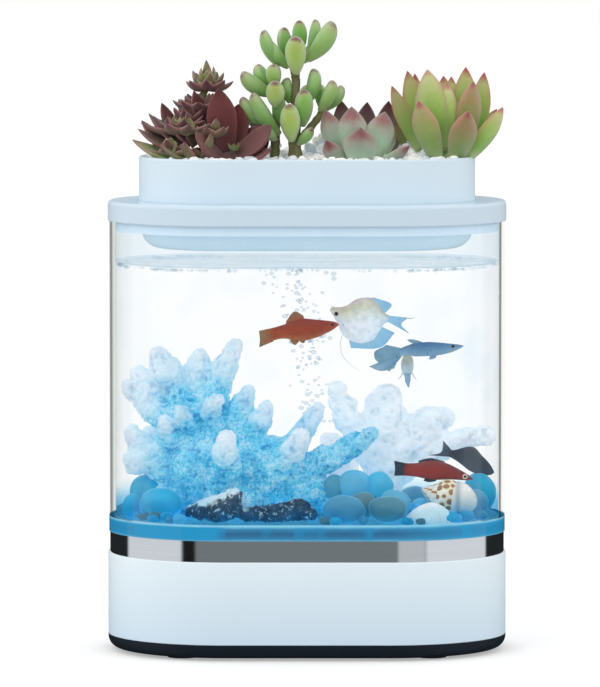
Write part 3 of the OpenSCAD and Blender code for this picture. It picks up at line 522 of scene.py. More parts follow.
def remesh(name, parts, voxel, smooth_steps):
    """One skin round many balls, as points and faces in millimetres."""
    acc = Acc()
    bv, bf = ico(3)
    for c, r in parts:
        acc.put(bv * r + c, bf)
    me = bpy.data.meshes.new(name)
    me.from_pydata((np.concatenate(acc.v) * MM).tolist(), [], acc.f)
    o = bpy.data.objects.new(name, me)
    bpy.context.scene.collection.objects.link(o)
    m = o.modifiers.new("r", "REMESH")
    m.mode = "VOXEL"
    m.voxel_size = voxel * MM
    m = o.modifiers.new("s", "SMOOTH")
    m.factor = 0.6
    m.iterations = smooth_steps
    dg = bpy.context.evaluated_depsgraph_get()
    e = o.evaluated_get(dg)
    em = e.to_mesh()
    v = np.zeros(len(em.vertices) * 3)
    em.vertices.foreach_get("co", v)
    nrm = np.zeros(len(em.vertices) * 3)
    em.vertices.foreach_get("normal", nrm)
    f = [tuple(p.vertices) for p in em.polygons]
    e.to_mesh_clear()
    bpy.data.objects.remove(o)
    bpy.data.meshes.remove(me)
    return v.reshape(-1, 3) / MM, nrm.reshape(-1, 3), f


def limbs(rows, step=0.35, jitter=0.1, seed=1):
    """Balls along rows of (start, end, start radius, end radius), each with how near the tip it is."""
    r0 = np.random.default_rng(seed)
    out, tips = [], []
    for a, b, ra, rb, ta, tb in rows:
        a, b = np.array(a, float), np.array(b, float)
        n = max(3, int(np.linalg.norm(b - a) / (step * (ra + rb) / 2)) + 1)
        bend = r0.normal(0, 0.05, 3) * np.linalg.norm(b - a)
        for u in np.linspace(0, 1, n):
            p = a + (b - a) * u + bend * math.sin(math.pi * u)
            r = (ra + (rb - ra) * u) * (1 + r0.normal(0, jitter))
            out.append((p, r))
            tips.append(ta + (tb - ta) * u)
    return out, np.array(tips)


def near(v, parts, tips, width):
    """For each point, the mean tip value of the balls round it."""
    c = np.array([p for p, _ in parts])
    r = np.array([q for _, q in parts])
    out = np.zeros(len(v))
    for i in range(0, len(v), 4000):
        d = np.linalg.norm(v[i:i + 4000, None] - c[None], axis=2) - r[None]
        w = np.exp(-np.clip(d, -3, 40) / width)
        out[i:i + 4000] = (w * tips[None]).sum(1) / w.sum(1)
    return out


def grain(v, nrm, layers, keep_floor=True):
    """Pushes points along their normals by layers of (size, height, ridged)."""
    out = np.empty_like(v)
    for i in range(len(v)):
        p = v[i]
        k = 0.0
        for s, h, ridged in layers:
            q = noise.noise(Vector((p[0] / s, p[1] / s, p[2] / s)))
            k += h * ((1 - 2 * abs(q)) - 0.5 if ridged else q)
        out[i] = p + nrm[i] * k
    return out


def clamp_tank(v, gap=0.7):
    """Keeps points inside the glass and above the floor."""
    v = v.copy()
    x, y = v[:, 0], v[:, 1]
    cx, cy = np.clip(x, -LX, LX), np.clip(y, -LY, LY)
    d = np.hypot(x - cx, y - cy)
    k = np.minimum(1, (INNER - gap) / np.maximum(d, 1e-6))
    v[:, 0], v[:, 1] = cx + (x - cx) * k, cy + (y - cy) * k
    v[:, 2] = np.maximum(v[:, 2], FLOOR + 0.02)
    return v


up = FLOOR - 57      # the lists below count heights from a floor at 57


def U(p):
    return (p[0], p[1], p[2] + up)


rows = [
    ((-36, 0, 66), (-44, 2, 88), 12, 15.5, 0, 0.0), ((-44, 0, 76), (-57, -2, 63), 11, 8.5, 0, 0.1), ((-12, -5, 70), (4, -7, 67), 8, 6.5, 0, 0.0), ((-36, -8, 66), (-24, -12, 62), 9, 8, 0, 0.0), ((-44, 2, 88), (-54, 2, 96), 14.5, 9.5, 0, 0.15), ((-36, 0, 66), (-14, -6, 70), 12, 9, 0, 0.0),
    ((-40, 0, 90), (-25, -2, 92), 12.5, 6, 0, 0.2), ((-50, 0, 76), (-65, 0, 82), 9.0, 7.4, 0.1, 0.6), ((-65, 0, 82), (-74.5, 0, 91.5), 7.4, 3.2, 0.6, 1.0),
    ((-60, 0, 78), (-72, -1, 80), 7, 5.5, 0.3, 0.9),
    ((-54, 0, 95), (-69, -1, 106.5), 7.0, 4.8, 0.2, 0.8), ((-69, -1, 106.5), (-76.5, -1, 112.5), 4.6, 2.6, 0.8, 1.0),
    ((-57, 4, 97), (-68, 5, 112), 6, 5.4, 0.3, 0.9), ((-68, 5, 112), (-71, 5, 116), 5.2, 3.6, 0.9, 1.0),
    ((-53, 0, 103), (-60, 0, 119), 6.2, 6.4, 0.25, 0.85), ((-60, 0, 119), (-62.5, 0, 124), 6.2, 4.4, 0.85, 1.0),
    ((-45, 2, 102), (-45.5, 2, 118), 6.4, 5.8, 0.2, 0.8), ((-45.5, 2, 118), (-45.5, 2, 123.5), 5.6, 3.8, 0.8, 1.0),
    ((-41, -2, 102), (-35, -3, 120), 6.2, 5.2, 0.1, 0.75), ((-35, -3, 120), (-30, -3, 129.5), 5.0, 3.0, 0.75, 1.0),
    ((-33, 0, 92), (-27, 0, 104), 6.4, 5.0, 0.1, 0.6), ((-27, 0, 104), (-25, 0, 109), 4.6, 3.0, 0.6, 0.9),
    ((-26, -3, 84), (-19.5, -4, 98), 6.2, 4.6, 0.1, 0.7), ((-19.5, -4, 98), (-17, -4, 103), 4.4, 2.8, 0.7, 1.0),
    ((-34, -4, 72), (-14, -6, 80), 10, 9, 0, 0), ((-22, -4, 80), (-12, -6, 85), 8, 5.5, 0, 0.1),
    ((-12, -4, 76), (0, -4, 95), 6.2, 4.4, 0.1, 0.65), ((0, -4, 95), (4.5, -4, 102.5), 4.2, 2.8, 0.65, 0.9),
    ((-16, -12, 74), (-6, -15, 86), 6.5, 5.0, 0.1, 0.7), ((-6, -15, 86), (-2.5, -16.5, 91), 4.8, 3.8, 0.8, 1.0),
    ((-12, -8, 73), (10, -9, 82), 7, 5.6, 0, 0.1), ((10, -9, 82), (20, -9, 88), 5.6, 4.6, 0.1, 0.3), ((20, -9, 88), (27, -9, 92.5), 4.6, 3.2, 0.3, 0.6),
    ((-36, -12, 74), (-34.5, -23, 86), 7.2, 5.2, 0.1, 0.55), ((-34.5, -23, 86), (-34, -25, 91.5), 5.0, 3.8, 0.8, 1.0),
    ((-44, -8, 98), (-38, -17, 107), 5, 3.0, 0.2, 0.9), ((-58, -6, 90), (-60, -16, 98), 6, 3.2, 0.2, 0.9), ((-50, -10, 96), (-53, -16, 102), 5, 3.2, 0.2, 0.8),
    ((-44, -8, 80), (-50, -15, 78), 9, 7, 0, 0.1), ((-28, -8, 80), (-26, -14, 80), 8, 6, 0, 0.1), ((-40, 6, 84), (-50, 18, 96), 8, 4.4, 0.1, 0.9),
    ((-30, 6, 80), (-24, 18, 94), 7, 4, 0.1, 0.9), ((-14, 0, 74), (-8, 12, 86), 6, 3.6, 0.1, 0.8), ((-56, 6, 84), (-66, 16, 90), 6, 3.8, 0.2, 0.9),
]
parts, tips = limbs([(U(a), U(b), ra, rb, ta, tb) for a, b, ra, rb, ta, tb in rows], jitter=0.05, seed=3)
r0 = np.random.default_rng(11)
extra, etips = [], []
for (c, r), t in zip(parts, tips):
    for _ in range(1 if r < 7 else 2):
        if r0.random() < 0.5:
            d = unit(r0.normal(0, 1, 3) + (0, -0.5, 0.25))
            extra.append((c + d * r * 0.93, 0.9 + 0.9 * r0.random()))
            etips.append(min(1, t + 0.12))
parts, tips = parts + extra, np.concatenate([tips, etips])
v, nrm, f = remesh("blue_coral_skin", parts, 0.75, 2)
tipv = near(v, parts, tips, 1.6)
gv = grain(v, nrm, [(6.0, 1.0, False), (2.6, 0.7, True), (1.15, 0.75, False)])
hgt = np.clip((gv - v) @ np.array([0, 0, 0]) + ((gv - v) * nrm).sum(1), -1, 1)
gv = clamp_tank(gv)

g = Mat("blue_coral")
tip = g.attr("tip")
hi = g.attr("lift")
spot = g.noise(260, 4, 0.65)
z = g.z()
tip2 = g.math("ADD", tip, g.math("MULTIPLY", g.math("SUBTRACT", spot, 0.5), 0.55))
core = g.ramp(g.noise(90, 3), [(0.32, lin(70, 190, 226)), (0.48, lin(108, 214, 238)), (0.66, lin(166, 232, 246))])
# painted light: the core is drawn bluer towards the floor, standing in for the blue light from below
core = g.mix(g.map(z, (FLOOR + 30) * MM, (FLOOR + 2) * MM, 0.0, 0.5), core, lin(78, 204, 226))
pale = g.mix(g.noise(60, 3), lin(226, 234, 240), lin(248, 250, 251))
col = g.mix(g.ramp(tip2, [(0.44, 0.0), (0.70, 0.6), (0.94, 1.0)]), core, pale)
fleck = g.noise(1100, 2, 0.6)
# painted highlight: raised grain is drawn paler
col = g.mix(g.map(hi, 0.1, 0.9, 0.0, 0.6), col, lin(226, 243, 250))
col = g.mix(g.ramp(fleck, [(0.52, 0.0), (0.66, 0.4)]), col, lin(236, 247, 252))
pits = g.math("MULTIPLY", g.ramp(fleck, [(0.34, 1.0), (0.47, 0.0)]), g.map(tip2, 0.7, 0.3, 0.12, 0.5))
col = g.mix(pits, col, lin(48, 160, 214))
# painted shade: sunken grain is drawn darker blue
col = g.mix(g.math("MULTIPLY", g.map(hi, -0.1, -0.9, 0.0, 0.8), g.map(tip2, 0.8, 0.4, 0.35, 1.0)), col, lin(40, 146, 200))
# painted glow: the coral is drawn partly as emission of its own colour
dif = g.principled(col, 0.45, spec=0.5, emit=col, strength=0.22)
coral_mat = g.done(g.blend(0.3, dif, g.add("BsdfTranslucent", 0, {"Color": col})))
solid("blue_coral_detail", gv, f, coral_mat, "base", True, {"tip": tipv, "lift": hgt}, ["blue_coral"])

rows = [
    ((32, 14, 60), (32, 12, 76), 9, 8, 0, 0), ((32, 12, 76), (33, 12, 96), 7.5, 8, 0, 0), ((33, 12, 96), (34, 12, 105), 8.6, 6.6, 0, 0),
    ((30, 12, 100), (28, 12, 104), 5, 4, 0, 0), ((28, 11, 78), (20, 6.5, 90), 5, 5.0, 0, 0), ((20, 6.5, 90), (16, 6.5, 101), 5.4, 5.6, 0, 0), ((16, 6.5, 101), (13, 6.5, 109), 5.2, 3.8, 0, 0),
    ((36, 12, 80), (46, 12, 90), 7, 8, 0, 0), ((46, 12, 90), (52, 12, 95), 8.4, 7.4, 0, 0), ((52, 12, 95), (58, 12, 97), 6.2, 4.2, 0, 0),
    ((36, 14, 72), (50, 12, 82), 6, 6, 0, 0), ((50, 12, 82), (63, 10, 87), 5.5, 4.4, 0, 0), ((63, 10, 87), (76, 8, 90), 4.4, 4.2, 0, 0),
    ((32, 16, 70), (38, 26, 84), 6, 4, 0, 0), ((34, 16, 76), (24, 24, 92), 5, 3.6, 0, 0),
]
parts, tips = limbs([(U(a), U(b), ra, rb, ta, tb) for a, b, ra, rb, ta, tb in rows], jitter=0.07, seed=9)
r0 = np.random.default_rng(21)
extra = []
for c, r in parts:
    for _ in range(3):
        d = unit(r0.normal(0, 1, 3) + (0, -0.3, 0.2))
        extra.append((c + d * r * 0.86, 1.2 + 1.2 * r0.random()))
v, nrm, f = remesh("white_coral_skin", parts + extra, 0.95, 2)
gv = grain(v, nrm, [(7.0, 1.2, False), (2.6, 1.1, True), (1.2, 0.45, False)])
hgt = ((gv - v) * nrm).sum(1)
gv = clamp_tank(gv)
g = Mat("white_coral")
col = g.ramp(g.noise(70, 4), [(0.3, lin(232, 239, 244)), (0.6, lin(246, 250, 252)), (0.8, lin(252, 254, 255))])
# painted shade: sunken grain is drawn darker
col = g.mix(g.map(g.attr("lift"), -0.2, -1.0, 0.0, 0.6), col, lin(184, 208, 218))
col = g.mix(g.map(g.noise(700, 3), 0.4, 0.7, 0.0, 0.35), col, lin(202, 220, 232))
# painted light: the coral is drawn bluer towards the floor, standing in for the blue light from below
col = g.mix(g.map(g.z(), (FLOOR + 20) * MM, (FLOOR + 2) * MM, 0.0, 0.6), col, lin(150, 208, 232))
# painted glow: the coral is drawn partly as emission of its own colour
dif = g.principled(col, 0.5, spec=0.4, emit=col, strength=0.26)
solid("white_coral_detail", gv, f, g.done(g.blend(0.35, dif, g.add("BsdfTranslucent", 0, {"Color": col}))), "base", True, {"lift": hgt}, ["white_coral"])

# ------------------------------------------------------------------ rocks


def fill(corners, r, n, seed):
    """Balls that fill the hull of corners."""
    r0 = np.random.default_rng(seed)
    c = np.array(corners, float)
    out = []
    for _ in range(n):
        w = r0.dirichlet(np.ones(len(c)) * 0.7)
        out.append((w @ c, r * (0.75 + 0.5 * r0.random())))
    return out


a = fill([U(p) for p in [(-50, -32, 59.5), (-52, -21, 60), (-29, -36, 59.5), (-29, -21, 61), (-28.5, -33, 68.6), (-46, -28, 63.6), (-30, -23, 69)]], 2.3, 520, 4)
b = fill([U(p) for p in [(-33, -34, 59.2), (-30, -24, 59.6), (2.5, -32, 59.4), (2, -21, 59.6), (-16, -28, 62.0), (-2, -27, 64.2), (1, -29, 63)]], 2.2, 520, 5)
v, nrm, f = remesh("rock_skin", a + b, 0.8, 1)
gv = grain(v, nrm, [(5.0, 1.1, True), (1.6, 0.5, True), (0.8, 0.25, False)])
gv = clamp_tank(gv)
g = Mat("dark_rock")
nz = g.attr("upness")
sp = g.noise(420, 4, 0.7)
col = g.ramp(g.noise(160, 4, 0.6), [(0.3, lin(32, 52, 70)), (0.55, lin(56, 86, 112)), (0.75, lin(74, 116, 146))])
col = g.mix(g.ramp(sp, [(0.56, 0.0), (0.63, 0.9)]), col, lin(196, 206, 214))
frost = g.ramp(g.math("ADD", nz, g.math("MULTIPLY", g.math("SUBTRACT", g.noise(200, 3), 0.5), 0.3)), [(0.80, 0.0), (0.90, 1.0)])
frost = g.math("MULTIPLY", frost, g.map(g.add("SeparateXYZ", "X", {"Vector": g.pos()}), -0.024, -0.026, 0.0, 1.0))
col = g.mix(frost, col, lin(208, 232, 243))
rock_mat = g.done(g.principled(col, 0.7, spec=0.4, normal=g.bump(g.noise(900, 4, 0.7), 0.5, 0.0004)))
solid("dark_rocks_detail", gv, f, rock_mat, "base", True, {"upness": nrm[:, 2] * 0.5 + 0.5}, ["dark_rocks"])

# ------------------------------------------------------------------ pebbles

g = Mat("frosted_glass_pebble")
tone = g.attr("tone")
facing = g.add("LayerWeight", "Facing", {"Blend": 0.5})
col = g.ramp(tone, [(0.0, lin(92, 158, 188)), (0.3, lin(90, 168, 192)), (0.5, lin(98, 142, 154)), (0.7, lin(112, 196, 226)), (0.85, lin(66, 192, 224)), (1.0, lin(20, 172, 206))])
mot = g.mix(g.noise(130, 4, 0.6), tuple(c * 0.72 for c in (1, 1, 1)), (1.15, 1.15, 1.15))
col = g.mix(1.0, col, mot, "MULTIPLY")
# painted rim light: the pebble is drawn paler towards its grazing edges
col = g.mix(g.ramp(facing, [(0.0, 0.0), (0.55, 0.04), (0.74, 0.4), (1.0, 0.85)]), col, lin(140, 208, 236))
# painted glow: the pebbles are drawn partly as emission of their own colour
body = g.principled(col, 0.35, spec=0.5, emit=col, strength=0.3, normal=g.bump(g.noise(500, 2), 0.15, 0.0003))
thru = g.add("BsdfTranslucent", 0, {"Color": col})
pebble_mat = g.done(g.blend(0.35, body, thru))
pebbles = [
    [15.5, -37, 63, 9, 6.6, 6, 4, 0.1], [33.5, -36, 62.8, 8.2, 6.4, 5.8, -12, 0.45], [23.5, -23.5, 63, 6.4, 5.6, 6, 25, 0.5], [37, -22.5, 63.6, 6.8, 5, 6.6, -20, 0.66],
    [47.4, -17, 61.4, 4, 4.2, 4.4, 10, 0.72], [46, -26.6, 59.6, 2.6, 2.4, 2.6, 0, 0.85], [-61.5, -17, 63.4, 9.4, 7.6, 7.0, 10, 0.92], [-66, 6, 66.4, 9.6, 8.8, 8.2, 70, 0.96], [-73.6, -9.0, 61.6, 5.2, 4.4, 5.2, 80, 0.9],
    [17, -13, 62.6, 7, 5.4, 5.6, 10, 0.7], [27, -11, 62.4, 6, 5, 5.4, -20, 0.5], [20, -12.5, 71.4, 7.4, 4.8, 6.0, 18, 0.72], [30.5, -12, 70.6, 6.4, 4.4, 5.8, -30, 0.8], [11.5, -12, 70.0, 5.0, 4.4, 5.2, 0, 0.3],
    [73.0, 0, 66.4, 7, 9.6, 8.6, 5, 1.0], [69.4, -12.6, 62.6, 8, 5.4, 6.6, 40, 0.1], [73, 13, 64.8, 6.4, 7.4, 7.6, -20, 1.0], [56, -9, 62.4, 5.6, 5, 5.4, 0, 0.2],
    [55, 8, 61.8, 5.4, 6, 4.8, 40, 0.4], [10, 40, 61.4, 7, 5, 4.4, 5, 0.6], [-8, 38, 61.6, 6.4, 5.4, 4.6, 10, 0.3], [28, 38, 61.8, 7.4, 5.6, 4.8, -8, 0.8],
    [46, 34, 61.6, 6.2, 6, 4.6, -30, 0.1], [-26, 36, 61.8, 7, 6, 4.8, 12, 0.5], [-44, 34, 61.4, 6.6, 6.2, 4.4, 24, 0.9], [-60, 24, 61.6, 6.4, 6, 4.6, 40, 0.7],
    [62, 22, 61.6, 5.8, 6, 4.6, 30, 1.0]]
acc = Acc()
pv, pf = ico(5)
for i, (x, y, zz, a, b, c, turn, tone) in enumerate(pebbles):
    w = math.radians(turn)
    q = lumpy(pv, 0.10, 1.1, i * 5.3) * (a, b, c)
    q = np.column_stack([q[:, 0] * math.cos(w) - q[:, 1] * math.sin(w), q[:, 0] * math.sin(w) + q[:, 1] * math.cos(w), q[:, 2]]) + U((x, y, zz))
    acc.put(clamp_tank(q, 0.4), pf, tone=tone)
pv, pf = ico(3)
r0 = np.random.default_rng(31)
spots = []
for i in range(900):      # small beads that fill the gaps of the bed
    x, y = r0.uniform(-80, 80), r0.uniform(-47, 47)
    r = r0.uniform(1.6, 3.6)
    if not inside(x, y, INNER - r - 0.8) or any(math.hypot(x - p[0], y - p[1]) < max(p[3], p[4]) * 0.8 + r * 0.6 for p in pebbles):
        continue
    if -56 < x < 4 and -36 < y < -16 or any(math.hypot(x - s[0], y - s[1]) < (s[2] + r) * 0.8 for s in spots) or math.hypot(x - ax, y - ay) < 19:
        continue
    if -52 < x < 6 and y < -30:
        continue
    spots.append((x, y, r))
    q = lumpy(pv, 0.2, 1.2, i * 2.9) * (r * r0.uniform(0.9, 1.3), r, r * 0.8)
    acc.put(clamp_tank(q + (x, y, FLOOR + r * 0.78), 0.4), pf, tone=r0.choice([0.1, 0.5, 0.7, 0.9, 1.0]))
acc.make("glass_pebbles_detail", pebble_mat, "base", True, ["glass_pebbles"])

# ------------------------------------------------------------------ shells

g = Mat("spotted_shell")
spv = g.attr("spots")
col = g.ramp(g.noise(160, 3), [(0.3, lin(214, 214, 210)), (0.7, lin(236, 236, 232))])
col = g.mix(g.ramp(spv, [(0.0, 0.0), (0.2, 0.75), (0.45, 0.85)]), col, lin(222, 214, 160))
col = g.mix(g.ramp(spv, [(0.4, 0.0), (0.62, 0.95)]), col, g.mix(g.noise(500, 3), lin(120, 78, 60), lin(166, 112, 92)))
# painted shade: the underside, one side of each coil and the lip's groove and stripes are drawn darker
col = g.mix(g.attr("groove"), col, lin(160, 172, 180))
# painted glow: a faint emission of the shell's own colour
shell_mat = g.done(g.principled(col, 0.25, spec=0.5, coat=0.3, emit=col, strength=0.06, normal=g.bump(g.noise(600, 3), 0.2, 0.0003)))


def blob(c, r, level=5, ridge=0.0, n=0):
    v, f = ico(level)
    if ridge:
        a = np.arctan2(v[:, 2], v[:, 1])
        v = v * (1 + ridge * np.sin(a * n + v[:, 0] * 2))[:, None]
    return v * r + np.array(c, float), f, v


sc = (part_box("spotted_shell")[0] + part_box("spotted_shell")[1]) / 2 / MM
acc = Acc()
C = np.array([sc.x, sc.y, sc.z])
r0 = np.random.default_rng(3)
v, f, u = blob((0, 0, 0), (6.9, 5.8, 8.3), 6, 0.012, 26)
centres = []
for row, lat in enumerate(np.radians([-62, -38, -14, 12, 38, 62])):
    k = max(3, int(14 * math.cos(lat)))
    for q in range(k):
        a = 2 * math.pi * (q + 0.5 * (row % 2)) / k + r0.uniform(-0.1, 0.1)
        centres.append((math.sin(lat), math.cos(lat) * math.cos(a), math.cos(lat) * math.sin(a), r0.uniform(0.09, 0.17)))
cc = np.array(centres)
d = np.linalg.norm((u[:, None] - cc[None, :, :3]) * (0.7, 1, 1), axis=2) / cc[None, :, 3]
spv = np.clip(1.5 - d.min(1), 0, 1)
a = math.radians(14)
rot = np.array([[math.cos(a), 0, math.sin(a)], [0, 1, 0], [-math.sin(a), 0, math.cos(a)]])
# painted shade: the shell's underside is drawn darker
acc.put(v @ rot.T + C + (-2.0, 0, 0.7), f, spots=spv, groove=np.clip(-u[:, 2] - 0.45, 0, 0.5))
# painted shade: each coil is drawn darker on one side
for k, (dx, dz, r) in enumerate(((-6.9, 2.4, 4.6), (-8.9, 3.2, 3.3), (-10.6, 3.9, 2.1), (-11.8, 4.4, 1.1))):
    v, f, u = blob((0, 0, 0), (r * 0.62, r, r), 4, 0.02, 14)
    acc.put(v @ rot.T + C + (dx, 0.4, dz), f, spots=np.clip(np.sin(np.arctan2(u[:, 2], u[:, 1]) * 5 + k) * 2 - 1.1, 0, 1), groove=np.clip(u[:, 0] * 0.8, 0, 0.6))
# the white lip that wraps the opening, with a groove down its middle; painted shade darkens that groove, the lip's
# underside and stripes across it
v, f, u = blob((0, 0, 0), (1, 1, 1), 6)
t = (u[:, 0] + 1) / 2
w = np.column_stack([u[:, 0] * 7.4, u[:, 1] * 5.4, u[:, 2] * (8.0 - 2.4 * t ** 2)])
grv = np.exp(-((u[:, 0] + 0.15 + 0.25 * u[:, 2]) / 0.16) ** 2) * (u[:, 1] < 0)
w[:, 1] += grv * 1.1
w *= (1 + 0.012 * np.sin(np.arctan2(u[:, 2], u[:, 0]) * 30))[:, None]
acc.put(w @ rot.T + C + (3.6, -0.9, 0.3), f, spots=0, groove=np.clip(grv * 0.75 + np.clip(-u[:, 2] - 0.5, 0, 0.5) * 0.7 + 0.25 * np.clip(np.sin(np.arctan2(u[:, 2], u[:, 0]) * 15) - 0.5, 0, 1), 0, 0.85))
acc.make("spotted_shell_detail", shell_mat, "base", True, ["spotted_shell"])

sc = (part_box("white_shell")[0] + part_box("white_shell")[1]) / 2 / MM
sl = low("white_shell").z
rings = []
for i in range(34):
    u = math.sin(math.pi / 2 * i / 33)
    z = 9.0 * u ** 1.15
    w = max(0.0, 1 - u ** 1.9) ** 0.62
    ring = []
    for j in range(150):
        t = 2 * math.pi * j / 150
        rib = 1 + 0.045 * math.sin(t * 30 + 0.6 * math.sin(t * 3)) * w + 0.02 * math.sin(u * 40)
        lift = 0.5 * math.exp(-((t - 3.6) / 0.5) ** 2) * w
        ring.append((sc.x - 0.6 + 1.2 * u + 10.4 * math.cos(t) * max(w, 0.01) * rib * (1 + 0.05 * math.sin(t)), sc.y + 4.4 * math.sin(t) * max(w, 0.01) * rib, sl + z + lift))
    rings.append(ring)
v, f = loft(rings)
g = Mat("white_shell")
col = g.ramp(g.noise(180, 3), [(0.3, lin(236, 226, 220)), (0.7, lin(255, 244, 238))])
# painted light: the shell is drawn bluer near the floor, standing in for the blue light from below
col = g.mix(g.map(g.z(), (FLOOR + 3) * MM, FLOOR * MM, 0.0, 0.5), col, lin(170, 216, 238))
ws = Acc()
ws.put(v, f)
# painted glow: the shell is drawn partly as emission of its own colour
ws.make("white_shell_detail", g.done(g.principled(col, 0.3, coat=0.3, emit=col, strength=0.2, normal=g.bump(g.noise(700, 3), 0.25, 0.0003))), "base", True, ["white_shell"])

# ------------------------------------------------------------------ fish


def fish_body(acc, secs, origin, y, wide, n=44, nv=28, power=0.9):
    """A body through sections (x, top, bottom), with its height and length as values."""
    s = np.array(secs, float)
    u = np.linspace(0, len(s) - 1, n)
    pts = curve(s, n)
    rings, lon, hei = [], [], []
    for i, (x, zt, zb) in enumerate(pts):
        k = i / (n - 1)
        h = max(0.12, (zt - zb) / 2)
        w = wide * h * (1.0 if k < 0.35 else 1.0 - 0.55 * (k - 0.35) / 0.65)
        if k < 0.15:
            w *= 0.75 + 0.25 * k / 0.15
        c = (zt + zb) / 2
        ring = []
        for j in range(nv):
            t = 2 * math.pi * j / nv
            ct, st = math.cos(t), math.sin(t)
            ring.append((origin[0] + x, y + w * math.copysign(abs(ct) ** power, ct), origin[1] + c + h * st))
            lon.append(k)
            hei.append(0.5 + 0.5 * st)
        rings.append(ring)
    v, f = loft(rings)
    acc.put(v, f, lon=lon + [0, 1], hei=hei + [0.5, 0.5], fin=0)


def fin(acc, root, tip, origin, y, lean=0.0, nu=30, nv=12, wave=0.25, tone=1.0, turns=7):
    """A thin fin between two lines in the fish's plane, with rays raised along it."""
    a, b = curve(root, nu), curve(tip, nu)
    front, back = [], []
    for i in range(nu):
        for j in range(nv):
            k = j / (nv - 1)
            p = a[i] * (1 - k) + b[i] * k
            ray = 0.06 * math.sin(i / (nu - 1) * math.pi * 2 * turns)
            yy = y + lean * k + wave * k * math.sin(i / (nu - 1) * 7 + k * 2)
            th = 0.16 * (1 - 0.6 * k)
            front.append((origin[0] + p[0], yy - th + ray, origin[1] + p[1]))
            back.append((origin[0] + p[0], yy + th + ray, origin[1] + p[1]))
    f = []
    m = nu * nv
    for i in range(nu - 1):
        for j in range(nv - 1):
            q = (i * nv + j, i * nv + j + 1, (i + 1) * nv + j + 1, (i + 1) * nv + j)
            f.append(q)
            f.append(tuple(m + x for x in q[::-1]))
    edge = [i * nv for i in range(nu)] + [(nu - 1) * nv + j for j in range(1, nv)] + [i * nv + nv - 1 for i in range(nu - 2, -1, -1)] + [j for j in range(nv - 2, 0, -1)]
    for i in range(len(edge)):
        p, q = edge[i], edge[(i + 1) % len(edge)]
        f.append((p, p + m, q + m, q))
    lon = [i / (nu - 1) for i in range(nu) for j in range(nv)] * 2
    kk = [j / (nv - 1) for i in range(nu) for j in range(nv)] * 2
    acc.put(np.array(front + back), f, lon=lon, hei=kk, fin=tone)


def eye(acc, x, z, origin, y, r, side=1.0, ring=0.0):
    v, f = ico(3)
    for s in (-1, 1):
        if ring:
            rims.put(v * (r * ring, r * 0.4, r * ring) + (origin[0] + x, y + s * side, origin[1] + z), f)
        acc.put(v * (r, r * 0.55, r) + (origin[0] + x, y + s * side, origin[1] + z), f, lon=0.0, hei=1.0)


def fish_mat(name, ramp_h, ramp_l, finc, fine, spec=0.5, alpha=0.35, scales=420, glow=0.06):
    g = Mat(name)
    hei, lon, fn = g.attr("hei"), g.attr("lon"), g.attr("fin")
    col = g.mix(0.5, g.ramp(hei, ramp_h), g.ramp(lon, ramp_l))
    col = g.mix(g.map(g.noise(scales, 3, 0.6), 0.35, 0.65, 0.0, 0.42), col, g.mix(1.0, col, (0.55, 0.55, 0.55), "MULTIPLY"))
    fincol = g.mix(hei, finc, fine)
    rays = g.noise(260, 2)
    fincol = g.mix(g.map(rays, 0.3, 0.7, 0.0, 0.35), fincol, tuple(c * 0.6 for c in finc))
    col = g.mix(g.math("GREATER_THAN", fn, 0.1), col, fincol)
    cell = g.add("TexVoronoi", 0, {"Vector": g.pos(), "Scale": 900.0})
    # painted glow: the fish's colour is added as emission by glow
    sh = g.principled(col, 0.38, spec=spec, normal=g.bump(cell, 0.25, 0.0003), emit=col, strength=glow)
    see = g.math("MULTIPLY", g.math("GREATER_THAN", fn, 0.1), g.map(hei, 0.0, 1.0, alpha * 0.5, alpha))
    return g.done(g.blend(see, sh, g.add("BsdfTransparent", 0, {"Color": (0.96, 0.98, 1.0)})))


g = Mat("fish_eye")
eye_mat = g.done(g.principled(g.mix(g.noise(500, 2), (0.01, 0.01, 0.012), (0.03, 0.03, 0.035)), 0.12, coat=0.5))
rims = Acc()
eyes = Acc()
fz = FLOOR - 56.3

# orange-red platy, heading right
O, Y = (-3.2, 135.2 + fz), -2.0
a = Acc()
fish_body(a, [(16.6, 2.3, 1.9), (15.3, 3.1, 0.7), (13.6, 3.5, -0.5), (11.0, 3.8, -1.8), (8.0, 4.1, -3.2), (4.9, 4.4, -4.1), (1.8, 4.6, -4.8), (-1.9, 3.8, -4.5), (-5.6, 2.4, -3.9), (-8.7, 1.4, -4.1), (-11.6, 0.6, -5.0)], O, Y, 0.42)
fin(a, [(-11.0, 0.7), (-11.2, -2.2), (-11.0, -5.1)], [(-17.1, -0.6), (-16.7, -4.2), (-17.0, -7.6)], O, Y, tone=1)
fin(a, [(-5.8, 2.0), (-2.0, 3.4), (2.2, 4.3)], [(-5.6, 3.6), (-2.2, 7.6), (1.6, 5.9)], O, Y, tone=1)
fin(a, [(-3.6, -4.0), (-2.0, -4.2), (0.2, -4.5)], [(-4.0, -4.9), (-1.9, -6.6), (-0.2, -5.2)], O, Y, tone=1)
fin(a, [(0.4, -4.6), (1.4, -4.5), (2.6, -4.4)], [(0.2, -5.4), (1.8, -5.8), (2.4, -5.0)], O, Y, tone=1)
a.make("platy_fish", fish_mat("platy_scales", [(0.0, lin(206, 140, 92)), (0.3, lin(178, 84, 52)), (1.0, lin(150, 48, 38))],
                              [(0.0, lin(196, 100, 82)), (0.35, lin(160, 62, 46)), (1.0, lin(174, 80, 44))], lin(176, 92, 58), lin(150, 124, 88), alpha=0.12), "base")
eye(eyes, 13.9, 2.2, O, Y, 0.6, 1.0)

